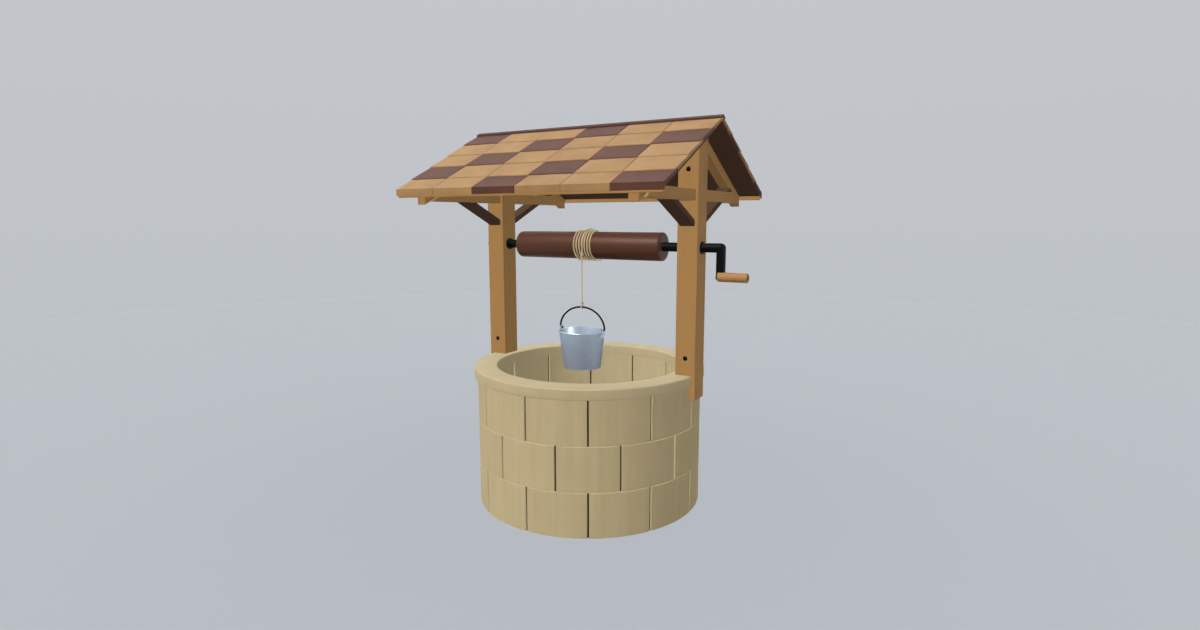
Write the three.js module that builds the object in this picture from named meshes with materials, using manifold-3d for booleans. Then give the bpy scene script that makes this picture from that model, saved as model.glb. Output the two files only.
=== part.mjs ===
// A wishing well planter: a ring wall of three courses of stone blocks with a flat coping, two
// posts, a tiled gable roof on rafters, and a hand-cranked windlass with a rope and a bucket.
// Millimetres, +Z up. X runs along the ridge and the drum, and -Y is the side that the bucket hangs on.
// Each size below is measured on one piece, and the places of its neighbours follow from it.

import * as THREE from 'three';
import { mergeVertices } from 'three/addons/utils/BufferGeometryUtils.js';
import Module from 'manifold-3d';

const wasm = await Module();
wasm.setup();

// Clearances and cuts
const fitGap = 0.3; // between joined timbers, tiles and fasteners
const cutOver = 6; // how far a cutting solid runs past the face it cuts

// Ring wall
const wallRadius = 500;
const wallThick = 74;
const courseHeight = 188;
const courseCount = 3;
const blocksPerCourse = 12;
const jointWidth = 7; // raked joint between two blocks of a course
const jointDepth = 8;
const arcStepsPerBlock = 4;

// Coping ring on the wall
const copingThick = 44;
const copingOverhangOut = 16;
const copingOverhangIn = 11.5;
const copingEdgeRadius = 10;
const copingSteps = 48;
const edgeSteps = 3;

// Posts
const postCentre = 487; // from the well's axis to each post's axis
const postWidth = 88; // along X
const postDepth = 96; // along Y
const postRise = 1015; // from the coping's top to the underside of the roof deck at the ridge
const tongueThick = 28; // the strip that laps down outside the wall
const tongueDrop = 102; // from the coping's top to the tongue's lower end

// Stitch bolts through each post
const boltRadius = 5;
const boltHeadRadius = 10;
const boltHeadThick = 4;
const boltFootHeight = 73; // above the coping's top
const boltTopDrop = 104; // below the rafter slot's floor at the post's face
const boltSteps = 10;
const nutSides = 6;

// Roof frame
const roofPitch = THREE.MathUtils.degToRad(27.1);
const rafterWidth = 42;
const rafterDepth = 42;
const tieWidth = 62;
const tieDepth = 46;
const tieDrop = 181.6; // from the rafter slot's floor at the post's face down to the tie's top
const braceDepth = 24;
const braceSlope = THREE.MathUtils.degToRad(24.1);
const braceHeight = 613; // lower edge at the post's face, above the coping's top

// Roof covering
const roofHalfLength = 610;
const eaveReach = 545; // from the ridge line to the face of the eave tiles, level
const deckThick = 10;
const deckInset = 6; // the deck and the fascias end this far inside the tiles' verge
const tileButt = 15; // thickness at a tile's lower edge
const tileHead = 11; // thickness at a tile's upper edge
const tileLap = 22;
const tileGap = 3; // joint between two tiles of a row
const tilesPerRow = 6;
const rowCount = 5;
const eaveExposure = 91; // level length of the eave row that shows
const rowExposure = 112; // level length of each row above it that shows
const eaveFace = 27; // height of the eave tiles' turned-down face
const eaveLipThick = 6.5;
const fasciaThick = 13;
const fasciaShow = 8; // how far the fascia shows below the eave tiles
const capThick = 7;
const capLeg = 24;

// Windlass
const windlassHeight = 527; // axle above the coping's top
const drumRadius = 60;
const drumLength = 722;
const drumSteps = 32;
const axleRadius = 19;
const axleGap = 0.5; // between the axle and what it runs in
const axleOverhang = 25; // beyond the left post's outer face
const axleSteps = 24;
const bushWall = 2.6;
const bushFlangeRadius = 26;
const bushFlangeThick = 6;
const bushSteps = 20;
const drumPinRadius = 4;
const drumPinInset = 55; // from the drum's left end
const drumPinDepth = 94; // length of the pin, driven in from the back
const splitPinRadius = 2.3;
const splitPinLength = 54;
const splitPinEnd = 9; // from the axle's left end to the pin
const splitPinEyeRadius = 4.6;
const splitPinEyeWire = 1.6;
const pinSteps = 12;
const pinEyeSides = 6;

// Crank
const crankStandOff = 82.5; // from the right post's outer face to the crank arm's axis
const crankThrow = 116.3;
const lugThick = 8.5; // what is left of the arm beside the grip
const lugDrop = 11; // the lug's end below the grip's axis
const gripRadius = 19;
const gripLength = 123.6;
const gripPinRadius = 6;
const gripPinHeadRadius = 10;
const gripPinHeadThick = 4;
const gripRecess = 5;
const gripPinProud = 1; // riveted end beyond the lug

// Rope
const ropeRadius = 3.25;
const ropeSides = 6;
const ropeStepsPerTurn = 24;
const ropeTurns = 7;
const ropePitch = 13.6;
const ropeLastTurn = -43; // X of the turn nearest the anchor hole, at the drum's front
const ropeSeat = 1; // between the drum and the laid rope, which leaves room for its straight steps
const layerGap = 1.3; // between the first layer and the rope that crosses over it
const fallPlace = 5; // X of the hanging rope
const anchorBend = 13;
const anchorHoleGap = 0.9;
const fallSides = 8;
const fallSteps = 16;

// Bucket and bail
const bucketRimRadius = 102.5; // outside of the wall under the rolled rim
const bucketFootRadius = 81;
const bucketHeight = 164.5;
const bucketWall = 1.6;
const bucketDrop = 264; // from the rope's end at the drum to the bail's crown
const rimRollRadius = 3.5;
const rimRollSteps = 8;
const bucketLedge = 7;
const bucketBaseThick = 2;
const bucketSteps = 28;
const bailRadius = 4;
const bailRise = 97; // from the pivots to the crown's centre line
const bailReach = 114; // from the bucket's axis to the bail's centre line at the pivots
const bailHook = 15; // length of the turned-in end
const bailSteps = 20;
const earThick = 2.5;
const earHalfWidth = 9;
const earPivotRise = 6; // pivot above the rim's top
const earDrop = 34; // from the pivot to the ear's lower end
const earFoot = 14; // height of the ear's riveted foot
const earBite = 4; // how far the ear's foot reaches in before the wall's shape is cut from it
const earEyeGap = 0.7;
const rimGap = 0.5; // between the rolled rim and the ear plate

// Places that follow from the sizes above
const wallInner = wallRadius - wallThick;
const wallTop = courseHeight * courseCount;
const copingTop = wallTop + copingThick;
const postInnerFace = postCentre - postWidth / 2;
const postOuterFace = postCentre + postWidth / 2;
const postFace = postDepth / 2;
const pitchTan = Math.tan(roofPitch);
const pitchCos = Math.cos(roofPitch);
const braceTan = Math.tan(braceSlope);
const deckPeak = copingTop + postRise;
const axisHeight = copingTop + windlassHeight;
const braceFoot = copingTop + braceHeight;
const bushOuter = axleRadius + axleGap + bushWall;
const fasciaOuter = eaveReach - eaveLipThick - fitGap;
const fasciaInner = fasciaOuter - fasciaThick;
const crankX = postOuterFace + crankStandOff;
const gripHeight = axisHeight - crankThrow;
const lugFace = crankX - axleRadius + lugThick;
const gripStart = lugFace + fitGap;
const gripEnd = gripStart + gripLength;
const layerOne = drumRadius + ropeRadius + ropeSeat;
const layerTwo = layerOne + 2 * ropeRadius + layerGap;
const bucketPlace = -layerTwo; // Y of the hanging rope, the bail and the bucket
const fallTop = axisHeight - 2 * ropeRadius - fitGap;
const bailCrown = axisHeight - bucketDrop; // top of the bail
const pivotHeight = bailCrown - bailRadius - bailRise;
const verge = roofHalfLength - deckInset;

// Heights on the slopes, at a level distance from the ridge line. A thickness is square to the slope.
const deckUnder = (reach) => deckPeak - pitchTan * reach;
const deckTop = (reach) => deckUnder(reach) + deckThick / pitchCos;
const aboveDeck = (reach, thickness) => deckTop(reach) + thickness / pitchCos;
const rafterTop = (reach) => deckUnder(reach) - fitGap / pitchCos;
const rafterUnder = (reach) => rafterTop(reach) - rafterDepth / pitchCos;
const slotFloor = (reach) => rafterUnder(reach) - fitGap;
const boltFoot = copingTop + boltFootHeight;
const boltTop = slotFloor(postFace) - boltTopDrop;
const tieTop = slotFloor(postFace) - tieDrop;
const tieBottom = tieTop - tieDepth;
const braceUpper = (reach) => braceLower(reach) + braceDepth / Math.cos(braceSlope);
const braceLower = (reach) => braceFoot + braceTan * (reach - postFace);

// Finishes
const finish = (color, roughness, metalness = 0) =>
  new THREE.MeshStandardMaterial({ color, roughness, metalness });
const stone = finish(0xb8a884, 0.9);
const copingStone = finish(0xc9bb9c, 0.85);
const postTimber = finish(0xa87e4e, 0.7);
const darkTimber = finish(0x4a3228, 0.75);
const tileSlip = finish(0xbe9b6e, 0.8);
const drumTimber = finish(0x6e4637, 0.65);
const blackSteel = finish(0x15181c, 0.4, 0.8);
const galvanised = finish(0x7d8791, 0.35, 0.9);
const sinteredBush = finish(0x2a2c30, 0.45, 0.7);
const hemp = finish(0xbeaa82, 0.95);

const well = new THREE.Group();

// Adds one named piece to the well.
function place(name, geometry, material, parent = well) {
  const mesh = new THREE.Mesh(geometry, material);
  mesh.name = name;
  parent.add(mesh);
  return mesh;
}

// Merges a geometry's shared corners and leaves out triangles that have no area.
function weld(geometry) {
  const bare = geometry.index ? geometry.toNonIndexed() : geometry.clone();
  bare.deleteAttribute('normal');
  bare.deleteAttribute('uv');
  const merged = mergeVertices(bare);
  const kept = [];
  for (let i = 0; i < merged.index.count; i += 3) {
    const [a, b, c] = [0, 1, 2].map((k) => merged.index.getX(i + k));
    if (a !== b && b !== c && c !== a) kept.push(a, b, c);
  }
  merged.setIndex(kept);
  return merged;
}

// Volume enclosed by a welded geometry, negative if its faces point inwards.
function signedVolume(geometry) {
  const corner = [new THREE.Vector3(), new THREE.Vector3(), new THREE.Vector3()];
  let sum = 0;
  for (let i = 0; i < geometry.index.count; i += 3) {
    corner.forEach((v, k) => {
      v.fromBufferAttribute(geometry.attributes.position, geometry.index.getX(i + k));
    });
    sum += corner[0].dot(corner[1].clone().cross(corner[2])) / 6;
  }
  return sum;
}

// A welded copy with its faces pointing out.
function facingOut(geometry) {
  const welded = weld(geometry);
  if (signedVolume(welded) < 0) {
    const index = Array.from(welded.index.array);
    for (let i = 0; i < index.length; i += 3) [index[i], index[i + 1]] = [index[i + 1], index[i]];
    welded.setIndex(index);
  }
  welded.computeVertexNormals();
  return welded;
}

// Geometry to solid for cutting and joining, and back.
function solid(geometry) {
  const ready = facingOut(geometry);
  return new wasm.Manifold(
    new wasm.Mesh({
      numProp: 3,
      vertProperties: new Float32Array(ready.attributes.position.array),
      triVerts: new Uint32Array(ready.index.array),
    }),
  );
}

function shaped(body) {
  const mesh = body.getMesh();
  const geometry = new THREE.BufferGeometry();
  geometry.setAttribute('position', new THREE.BufferAttribute(new Float32Array(mesh.vertProperties), 3));
  geometry.setIndex(Array.from(mesh.triVerts));
  geometry.computeVertexNormals();
  return geometry;
}

// Cuts the tools out of the body.
const carve = (body, tools) => tools.reduce((left, tool) => left.subtract(solid(tool)), body);
const joined = (parts) => parts.map(solid).reduce((whole, part) => whole.add(part));

// A box between two corners.
function block([x0, x1], [y0, y1], [z0, z1]) {
  const box = new THREE.BoxGeometry(Math.abs(x1 - x0), Math.abs(y1 - y0), Math.abs(z1 - z0));
  return box.translate((x0 + x1) / 2, (y0 + y1) / 2, (z0 + z1) / 2);
}

// An outline of [y, z] points drawn out along X.
function alongX(outline, [x0, x1]) {
  const shape = new THREE.Shape(outline.map(([y, z]) => new THREE.Vector2(y, z)));
  const prism = new THREE.ExtrudeGeometry(shape, { depth: Math.abs(x1 - x0), bevelEnabled: false });
  const yToX = new THREE.Vector3(0, 1, 0);
  const zToY = new THREE.Vector3(0, 0, 1);
  const depthToX = new THREE.Vector3(1, 0, 0);
  prism.applyMatrix4(new THREE.Matrix4().makeBasis(yToX, zToY, depthToX));
  return prism.translate(Math.min(x0, x1), 0, 0);
}

// Round bars along each axis, given by the bar's centre line.
function barX(radius, [x0, x1], y, z, steps) {
  const bar = new THREE.CylinderGeometry(radius, radius, Math.abs(x1 - x0), steps);
  return bar.rotateZ(Math.PI / 2).translate((x0 + x1) / 2, y, z);
}

function barY(radius, x, [y0, y1], z, steps) {
  const bar = new THREE.CylinderGeometry(radius, radius, Math.abs(y1 - y0), steps);
  return bar.translate(x, (y0 + y1) / 2, z);
}

function barZ(radius, x, y, [z0, z1], steps) {
  const bar = new THREE.CylinderGeometry(radius, radius, Math.abs(z1 - z0), steps);
  return bar.rotateX(Math.PI / 2).translate(x, y, (z0 + z1) / 2);
}

// A closed profile of [radius, height] points turned about Z.
function turned(profile, steps) {
  const loop = [...profile, profile[0]].map(([radius, height]) => new THREE.Vector2(radius, height));
  return new THREE.LatheGeometry(loop, steps).rotateX(Math.PI / 2);
}

// Points of an arc in a profile, from one angle to another.
function arcPoints(centre, radius, [from, to], steps) {
  return Array.from({ length: steps + 1 }, (_, k) => {
    const angle = from + ((to - from) * k) / steps;
    return [centre[0] + radius * Math.cos(angle), centre[1] + radius * Math.sin(angle)];
  });
}

const mirroredY = (outline) => outline.map(([y, z]) => [-y, z]);
const centred = (middle, width) => [middle - width / 2, middle + width / 2];
const sides = [
  { name: 'left', sign: -1 },
  { name: 'right', sign: 1 },
];
const slopes = [
  { name: 'front', outlineOf: mirroredY, sign: -1 },
  { name: 'back', outlineOf: (outline) => outline, sign: 1 },
];

// Wall: rings of blocks with raked joints, each course turned half a block from the one below
const blockAngle = (2 * Math.PI) / blocksPerCourse;

function ringPath(faceRadius, rootRadius, turn) {
  const points = [];
  const at = (radius, angle) => {
    points.push(new THREE.Vector2(radius * Math.cos(angle), radius * Math.sin(angle)));
  };
  const faceHalf = jointWidth / 2 / faceRadius;
  const rootHalf = jointWidth / 2 / rootRadius;
  for (let b = 0; b < blocksPerCourse; b += 1) {
    const start = turn + b * blockAngle;
    at(rootRadius, start - rootHalf);
    at(rootRadius, start + rootHalf);
    for (let k = 0; k <= arcStepsPerBlock; k += 1) {
      at(faceRadius, start + faceHalf + ((blockAngle - 2 * faceHalf) * k) / arcStepsPerBlock);
    }
  }
  return points;
}

function makeCourse(index) {
  const turn = (index % 2) * (blockAngle / 2);
  const ring = new THREE.Shape(ringPath(wallRadius, wallRadius - jointDepth, turn));
  ring.holes.push(new THREE.Path(ringPath(wallInner, wallInner + jointDepth, turn)));
  const course = new THREE.ExtrudeGeometry(ring, { depth: courseHeight, bevelEnabled: false });
  place(`wall_course_${index + 1}`, facingOut(course.translate(0, 0, index * courseHeight)), stone);
}

for (let index = 0; index < courseCount; index += 1) makeCourse(index);

// Coping: one ring with a rounded outer edge, notched where the posts' tongues pass it
function makeCoping() {
  const outer = wallRadius + copingOverhangOut;
  const inner = wallInner - copingOverhangIn;
  const edge = [outer - copingEdgeRadius, copingTop - copingEdgeRadius];
  const profile = [
    [inner, wallTop],
    [outer, wallTop],
    ...arcPoints(edge, copingEdgeRadius, [0, Math.PI / 2], edgeSteps),
    [inner, copingTop],
  ];
  const notches = sides.map(({ sign }) =>
    block(
      [sign * (postOuterFace - tongueThick - fitGap), sign * (outer + postWidth)],
      centred(0, postDepth + 2 * fitGap),
      [wallTop - cutOver, copingTop + cutOver],
    ),
  );
  place('coping_ring', shaped(carve(solid(turned(profile, copingSteps)), notches)), copingStone);
}

makeCoping();

// Posts: gabled tops with a slot for the rafters, a mortise for the tie and a bore for the bushes
function makePost({ name, sign }) {
  const middle = sign * postCentre;
  const top = (reach) => deckUnder(reach) - fitGap / pitchCos;
  const outline = [
    [-postFace, copingTop],
    [postFace, copingTop],
    [postFace, top(postFace)],
    [0, top(0)],
    [-postFace, top(postFace)],
  ];
  const tongue = block(
    [sign * (postOuterFace - tongueThick), sign * postOuterFace],
    [-postFace, postFace],
    [copingTop - tongueDrop, copingTop + cutOver],
  );
  const past = postFace + cutOver;
  const slot = alongX(
    [
      [-past, slotFloor(past)],
      [0, slotFloor(0)],
      [past, slotFloor(past)],
      [past, deckPeak],
      [-past, deckPeak],
    ],
    centred(middle, rafterWidth + 2 * fitGap),
  );
  const mortise = block(
    centred(middle, tieWidth + 2 * fitGap),
    [-past, past],
    [tieBottom - fitGap, tieTop + fitGap],
  );
  const bore = barX(bushOuter + fitGap, centred(middle, postWidth + 2 * cutOver), 0, axisHeight, axleSteps);
  const boltBores = [boltFoot, boltTop].map((height) =>
    barY(boltRadius + fitGap, middle, [-past, past], height, boltSteps),
  );
  const body = joined([alongX(outline, centred(middle, postWidth)), tongue]);
  place(`post_${name}`, shaped(carve(body, [slot, mortise, bore, ...boltBores])), postTimber);
}

sides.forEach(makePost);

// Stitch bolts through the posts, above the tongue and below the rafter slot
function makeBolt(name, x, height) {
  const reach = postFace + fitGap;
  const profile = [
    [0, -reach],
    [boltRadius, -reach],
    [boltRadius, reach],
    [boltHeadRadius, reach],
    [boltHeadRadius, reach + boltHeadThick / 2],
    [boltRadius, reach + boltHeadThick],
    [0, reach + boltHeadThick],
  ];
  const nut = barY(boltHeadRadius, 0, [reach, reach + boltHeadThick], 0, nutSides);
  const bolt = turned(profile, boltSteps).rotateX(Math.PI / 2);
  place(name, shaped(joined([bolt, nut]).translate([x, 0, height])), blackSteel);
}

sides.forEach(({ name, sign }) => {
  makeBolt(`post_foot_bolt_${name}`, sign * postCentre, boltFoot);
  makeBolt(`post_top_bolt_${name}`, sign * postCentre, boltTop);
});

// Ties, braces and rafters of the two roof frames
const reachAtRafterUnder = (height) => (rafterUnder(0) - fitGap - height) / pitchTan;

function braceOutline(spare) {
  // The brace's edges, grown by a spare width, run from the post's face to the rafter's underside.
  const meet = (edgeAtFace) =>
    (slotFloor(0) - edgeAtFace + braceTan * postFace) / (pitchTan + braceTan);
  const grow = spare / Math.cos(braceSlope);
  const start = postFace + fitGap - spare;
  const upperEnd = meet(braceUpper(postFace)) + spare;
  const lowerEnd = meet(braceLower(postFace)) + spare;
  return [
    [start, braceLower(start) - grow],
    [lowerEnd, braceLower(lowerEnd) - grow],
    [upperEnd, braceUpper(upperEnd) + grow],
    [start, braceUpper(start) + grow],
  ];
}

function makeTie({ name, sign }) {
  const middle = sign * postCentre;
  const outline = [
    [-reachAtRafterUnder(tieBottom), tieBottom],
    [reachAtRafterUnder(tieBottom), tieBottom],
    [reachAtRafterUnder(tieTop), tieTop],
    [-reachAtRafterUnder(tieTop), tieTop],
  ];
  const halving = [middle - tieWidth / 2 - cutOver, middle + fitGap / 2];
  const notches = slopes.map(({ outlineOf }) => alongX(outlineOf(braceOutline(fitGap)), halving));
  const beam = solid(alongX(outline, centred(middle, tieWidth)));
  place(`tie_beam_${name}`, shaped(carve(beam, notches)), postTimber);
}

function makeBrace({ name, sign }, slope) {
  const middle = sign * postCentre;
  const body = solid(alongX(slope.outlineOf(braceOutline(0)), centred(middle, tieWidth)));
  const reach = reachAtRafterUnder(tieBottom);
  const notch = block(
    [middle - fitGap / 2, middle + tieWidth / 2 + cutOver],
    [slope.sign * postFace, slope.sign * reach],
    [tieBottom - fitGap, tieTop + fitGap],
  );
  place(`knee_brace_${name}_${slope.name}`, shaped(carve(body, [notch])), darkTimber);
}

function makeRafter({ name, sign }, slope) {
  const end = fasciaInner - fitGap;
  const outline = [
    [fitGap, rafterTop(fitGap)],
    [fitGap, rafterUnder(fitGap)],
    [end, rafterUnder(end)],
    [end, rafterTop(end)],
  ];
  const rafter = alongX(slope.outlineOf(outline), centred(sign * postCentre, rafterWidth));
  place(`rafter_${name}_${slope.name}`, facingOut(rafter), postTimber);
}

sides.forEach((side) => {
  makeTie(side);
  slopes.forEach((slope) => {
    makeBrace(side, slope);
    makeRafter(side, slope);
  });
});

// Roof covering: deck, fascia, five rows of tiles on each slope and the ridge cap
function makeDeck(slope) {
  const end = fasciaInner - fitGap;
  const outline = [
    [fitGap, deckUnder(fitGap)],
    [end, deckUnder(end)],
    [end, deckTop(end)],
    [fitGap, deckTop(fitGap)],
  ];
  place(`roof_deck_${slope.name}`, facingOut(alongX(slope.outlineOf(outline), [-verge, verge])), darkTimber);
}

const eaveTopEdge = aboveDeck(eaveReach, tileButt);
const eaveLipEnd = eaveTopEdge - eaveFace;

function makeFascia(slope) {
  const outline = [
    [fasciaInner, eaveLipEnd - fasciaShow],
    [fasciaOuter, eaveLipEnd - fasciaShow],
    [fasciaOuter, deckTop(fasciaOuter)],
    [fasciaInner, deckTop(fasciaInner)],
  ];
  place(`fascia_${slope.name}`, facingOut(alongX(slope.outlineOf(outline), [-verge, verge])), postTimber);
}

const buttReach = (row) => (row === 0 ? eaveReach : eaveReach - eaveExposure - rowExposure * (row - 1));

function rowOutline(row) {
  const butt = buttReach(row);
  const isTop = row === rowCount - 1;
  const next = isTop ? fitGap : buttReach(row + 1);
  const head = isTop ? fitGap : next - tileLap + fitGap;
  const lip = eaveReach - eaveLipThick;
  const nose = [
    [butt, aboveDeck(butt, tileHead + fitGap)],
    [butt - tileLap, aboveDeck(butt - tileLap, tileHead + fitGap)],
    [butt - tileLap, aboveDeck(butt - tileLap, fitGap)],
  ];
  const eaveNose = [
    [eaveReach, eaveLipEnd],
    [lip, eaveLipEnd],
    [lip, aboveDeck(lip, fitGap)],
  ];
  const upperEnd = [
    [head, aboveDeck(head, fitGap)],
    [head, aboveDeck(head, tileHead)],
    [next, aboveDeck(next, tileHead)],
  ];
  return [
    ...(row === 0 ? eaveNose : nose),
    ...(isTop ? upperEnd.slice(0, 2) : upperEnd),
    [butt, aboveDeck(butt, tileButt)],
  ];
}

function makeTileRow(row, slope) {
  const body = solid(alongX(slope.outlineOf(rowOutline(row)), [-roofHalfLength, roofHalfLength]));
  const isTop = row === rowCount - 1;
  const upper = isTop ? capLeg : buttReach(row + 1);
  const lower = buttReach(row) + cutOver;
  const tileWidth = (2 * roofHalfLength) / tilesPerRow;
  const joints = Array.from({ length: tilesPerRow - 1 }, (_, k) =>
    block(
      centred(-roofHalfLength + (k + 1) * tileWidth, tileGap),
      [slope.sign * upper, slope.sign * lower],
      [eaveLipEnd - cutOver, aboveDeck(0, tileButt) + cutOver],
    ),
  );
  place(`tile_row_${slope.name}_${row + 1}`, shaped(carve(body, joints)), tileSlip);
}

slopes.forEach((slope) => {
  makeDeck(slope);
  makeFascia(slope);
  for (let row = 0; row < rowCount; row += 1) makeTileRow(row, slope);
});

function makeRidgeCap() {
  const leg = capLeg * pitchCos;
  const taper = (tileButt - tileHead) / buttReach(rowCount - 1);
  const under = (reach) => aboveDeck(reach, tileHead + taper * reach + fitGap);
  const over = (reach) => under(reach) + capThick / pitchCos;
  const outline = [
    [-leg, under(leg)],
    [0, under(0)],
    [leg, under(leg)],
    [leg, over(leg)],
    [0, over(0)],
    [-leg, over(leg)],
  ];
  place('ridge_cap', facingOut(alongX(outline, [-roofHalfLength, roofHalfLength])), darkTimber);
}

makeRidgeCap();

// Windlass: bushes in the posts, and the axle with its crank arm
function makeBush(side, where) {
  // An outer bush enters the post from outside and an inner one from the well's side.
  const isOuter = where === 'outer';
  const face = isOuter ? postOuterFace : postInnerFace;
  const inward = isOuter ? -1 : 1;
  const profile = [
    [axleRadius + axleGap, -bushFlangeThick],
    [bushFlangeRadius, -bushFlangeThick],
    [bushFlangeRadius, 0],
    [bushOuter, 0],
    [bushOuter, postWidth / 2 - 2 * fitGap],
    [axleRadius + axleGap, postWidth / 2 - 2 * fitGap],
  ];
  const bush = turned(profile, bushSteps).rotateY((side.sign * inward * Math.PI) / 2);
  bush.translate(side.sign * (face - inward * fitGap), 0, axisHeight);
  place(`axle_bush_${side.name}_${where}`, facingOut(bush), sinteredBush);
}

sides.forEach((side) => {
  makeBush(side, 'inner');
  makeBush(side, 'outer');
});

const axleEnd = -(postOuterFace + axleOverhang);
const splitPinX = axleEnd + splitPinEnd;
const drumPinX = -drumLength / 2 + drumPinInset;
const drumPinStart = drumRadius * Math.cos(Math.PI / drumSteps) - fitGap;

function makeCrankAxle() {
  const axle = barX(axleRadius, [axleEnd, crankX], 0, axisHeight, axleSteps);
  const elbow = new THREE.SphereGeometry(axleRadius, axleSteps, pinSteps).translate(crankX, 0, axisHeight);
  const arm = barZ(axleRadius, crankX, 0, [gripHeight - lugDrop, axisHeight], axleSteps);
  const besideGrip = block(
    [lugFace, crankX + axleRadius + cutOver],
    centred(0, 2 * axleRadius + 2 * cutOver),
    [gripHeight - lugDrop - cutOver, gripHeight + gripRadius + fitGap],
  );
  const lugHole = barX(
    gripPinRadius + fitGap,
    [crankX - axleRadius - cutOver, lugFace + cutOver],
    0,
    gripHeight,
    pinSteps,
  );
  const pinHole = barY(drumPinRadius + fitGap, drumPinX, centred(0, 2 * drumRadius), axisHeight, pinSteps);
  const splitHole = barZ(
    splitPinRadius + fitGap,
    splitPinX,
    0,
    [axisHeight - 2 * axleRadius, axisHeight + 2 * axleRadius],
    pinSteps,
  );
  const body = carve(joined([axle, elbow, arm]), [besideGrip, lugHole, pinHole, splitHole]);
  place('crank_axle', shaped(body), blackSteel);
}

makeCrankAxle();

function makeSplitPin() {
  const half = splitPinLength / 2;
  const shank = barZ(splitPinRadius, splitPinX, 0, [axisHeight - half, axisHeight + half], pinSteps / 2);
  const eye = new THREE.TorusGeometry(splitPinEyeRadius, splitPinEyeWire, pinEyeSides, pinSteps);
  eye.rotateX(Math.PI / 2).translate(splitPinX, 0, axisHeight + half + splitPinEyeRadius);
  place('axle_split_pin', shaped(joined([shank, eye])), galvanised);
}

makeSplitPin();

function makeDrumPin() {
  const reach = [drumPinStart - drumPinDepth, drumPinStart];
  const pin = barY(drumPinRadius, drumPinX, reach, axisHeight, pinSteps);
  place('drum_pin', facingOut(pin), blackSteel);
}

makeDrumPin();

// Rope: it comes up the front of the drum over the first layer, crosses to the right at the back,
// drops on the drum and runs leftwards in even turns to the anchor hole.
const degree = Math.PI / 180;
const turnAngle = 360 * degree;
const crossStart = 100 * degree;
const crossEnd = 260 * degree;
const dropStart = 230 * degree;
const dropEnd = 290 * degree;
const anchorAngle = ropeTurns * turnAngle + 140 * degree;
const firstTurn = ropeLastTurn + (ropeTurns - 1) * ropePitch;
const helixX = (angle) => firstTurn - ropePitch * (angle / turnAngle - 1);
const eased = (value, [from, to]) => THREE.MathUtils.smoothstep(value, from, to);

// A point of the laid rope, by its angle from the drum's front, up and over the top.
function ropePoint(angle) {
  const across = THREE.MathUtils.lerp(fallPlace, helixX(crossEnd), eased(angle, [crossStart, crossEnd]));
  const x = angle < crossEnd ? across : helixX(angle);
  const radius = THREE.MathUtils.lerp(layerTwo, layerOne, eased(angle, [dropStart, dropEnd]));
  return new THREE.Vector3(x, -radius * Math.cos(angle), axisHeight + radius * Math.sin(angle));
}

// The rope's end: a bend that leaves the drum's surface and a straight run into the anchor hole.
function anchorPoints(extra) {
  const start = ropePoint(anchorAngle);
  const along = new THREE.Vector3(0, Math.sin(anchorAngle), Math.cos(anchorAngle));
  const inward = new THREE.Vector3(0, Math.cos(anchorAngle), -Math.sin(anchorAngle));
  const bendSteps = ropeStepsPerTurn / 4;
  const points = Array.from({ length: bendSteps }, (_, k) => {
    const turn = ((k + 1) / bendSteps) * (Math.PI / 2);
    return start
      .clone()
      .addScaledVector(along, anchorBend * Math.sin(turn))
      .addScaledVector(inward, anchorBend * (1 - Math.cos(turn)));
  });
  points.push(points.at(-1).clone().addScaledVector(inward, 2 * ropeRadius + extra));
  return [start, ...points];
}

function ropePath() {
  const step = turnAngle / ropeStepsPerTurn;
  const laid = [];
  for (let angle = 0; angle < anchorAngle - step / 2; angle += step) laid.push(ropePoint(angle));
  const tail = laid[0].clone().add(new THREE.Vector3(0, 0, -2 * ropeRadius));
  return [tail, ...laid, ...anchorPoints(0)];
}

// A round tube of a few sides through the points, with flat ends.
function tube(points, radius, sideCount) {
  const tangents = points.map((point, i) => {
    const before = points[Math.max(i - 1, 0)];
    const after = points[Math.min(i + 1, points.length - 1)];
    return after.clone().sub(before).normalize();
  });
  const normal = new THREE.Vector3(1, 0, 0);
  const positions = [];
  points.forEach((point, i) => {
    normal.addScaledVector(tangents[i], -normal.dot(tangents[i])).normalize();
    const across = tangents[i].clone().cross(normal);
    for (let k = 0; k < sideCount; k += 1) {
      const angle = (2 * Math.PI * k) / sideCount;
      const corner = point.clone().addScaledVector(normal, radius * Math.cos(angle));
      corner.addScaledVector(across, radius * Math.sin(angle));
      positions.push(...corner.toArray());
    }
  });
  const index = [];
  const last = (points.length - 1) * sideCount;
  for (let k = 0; k < sideCount; k += 1) {
    const next = (k + 1) % sideCount;
    for (let ring = 0; ring < last; ring += sideCount) {
      index.push(ring + k, ring + next, ring + sideCount + next);
      index.push(ring + k, ring + sideCount + next, ring + sideCount + k);
    }
    if (k > 0 && k < sideCount - 1) {
      index.push(0, next, k);
      index.push(last, last + k, last + next);
    }
  }
  const geometry = new THREE.BufferGeometry();
  geometry.setAttribute('position', new THREE.Float32BufferAttribute(positions, 3));
  geometry.setIndex(index);
  return geometry;
}

// Least gap of the wound rope to itself, measured between points of stretches that aren't neighbours.
function leastGap(points) {
  const spacing = ropeRadius / 2;
  const dense = [];
  points.slice(1).forEach((point, i) => {
    const span = point.clone().sub(points[i]);
    const count = Math.ceil(span.length() / spacing);
    for (let k = 0; k < count; k += 1) dense.push(points[i].clone().addScaledVector(span, k / count));
  });
  const apart = Math.ceil((turnAngle / 4) * (drumRadius / spacing));
  let least = Infinity;
  for (let i = 0; i < dense.length; i += 1) {
    for (let j = i + apart; j < dense.length; j += 1) least = Math.min(least, dense[i].distanceTo(dense[j]));
  }
  return least - 2 * ropeRadius;
}

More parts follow.
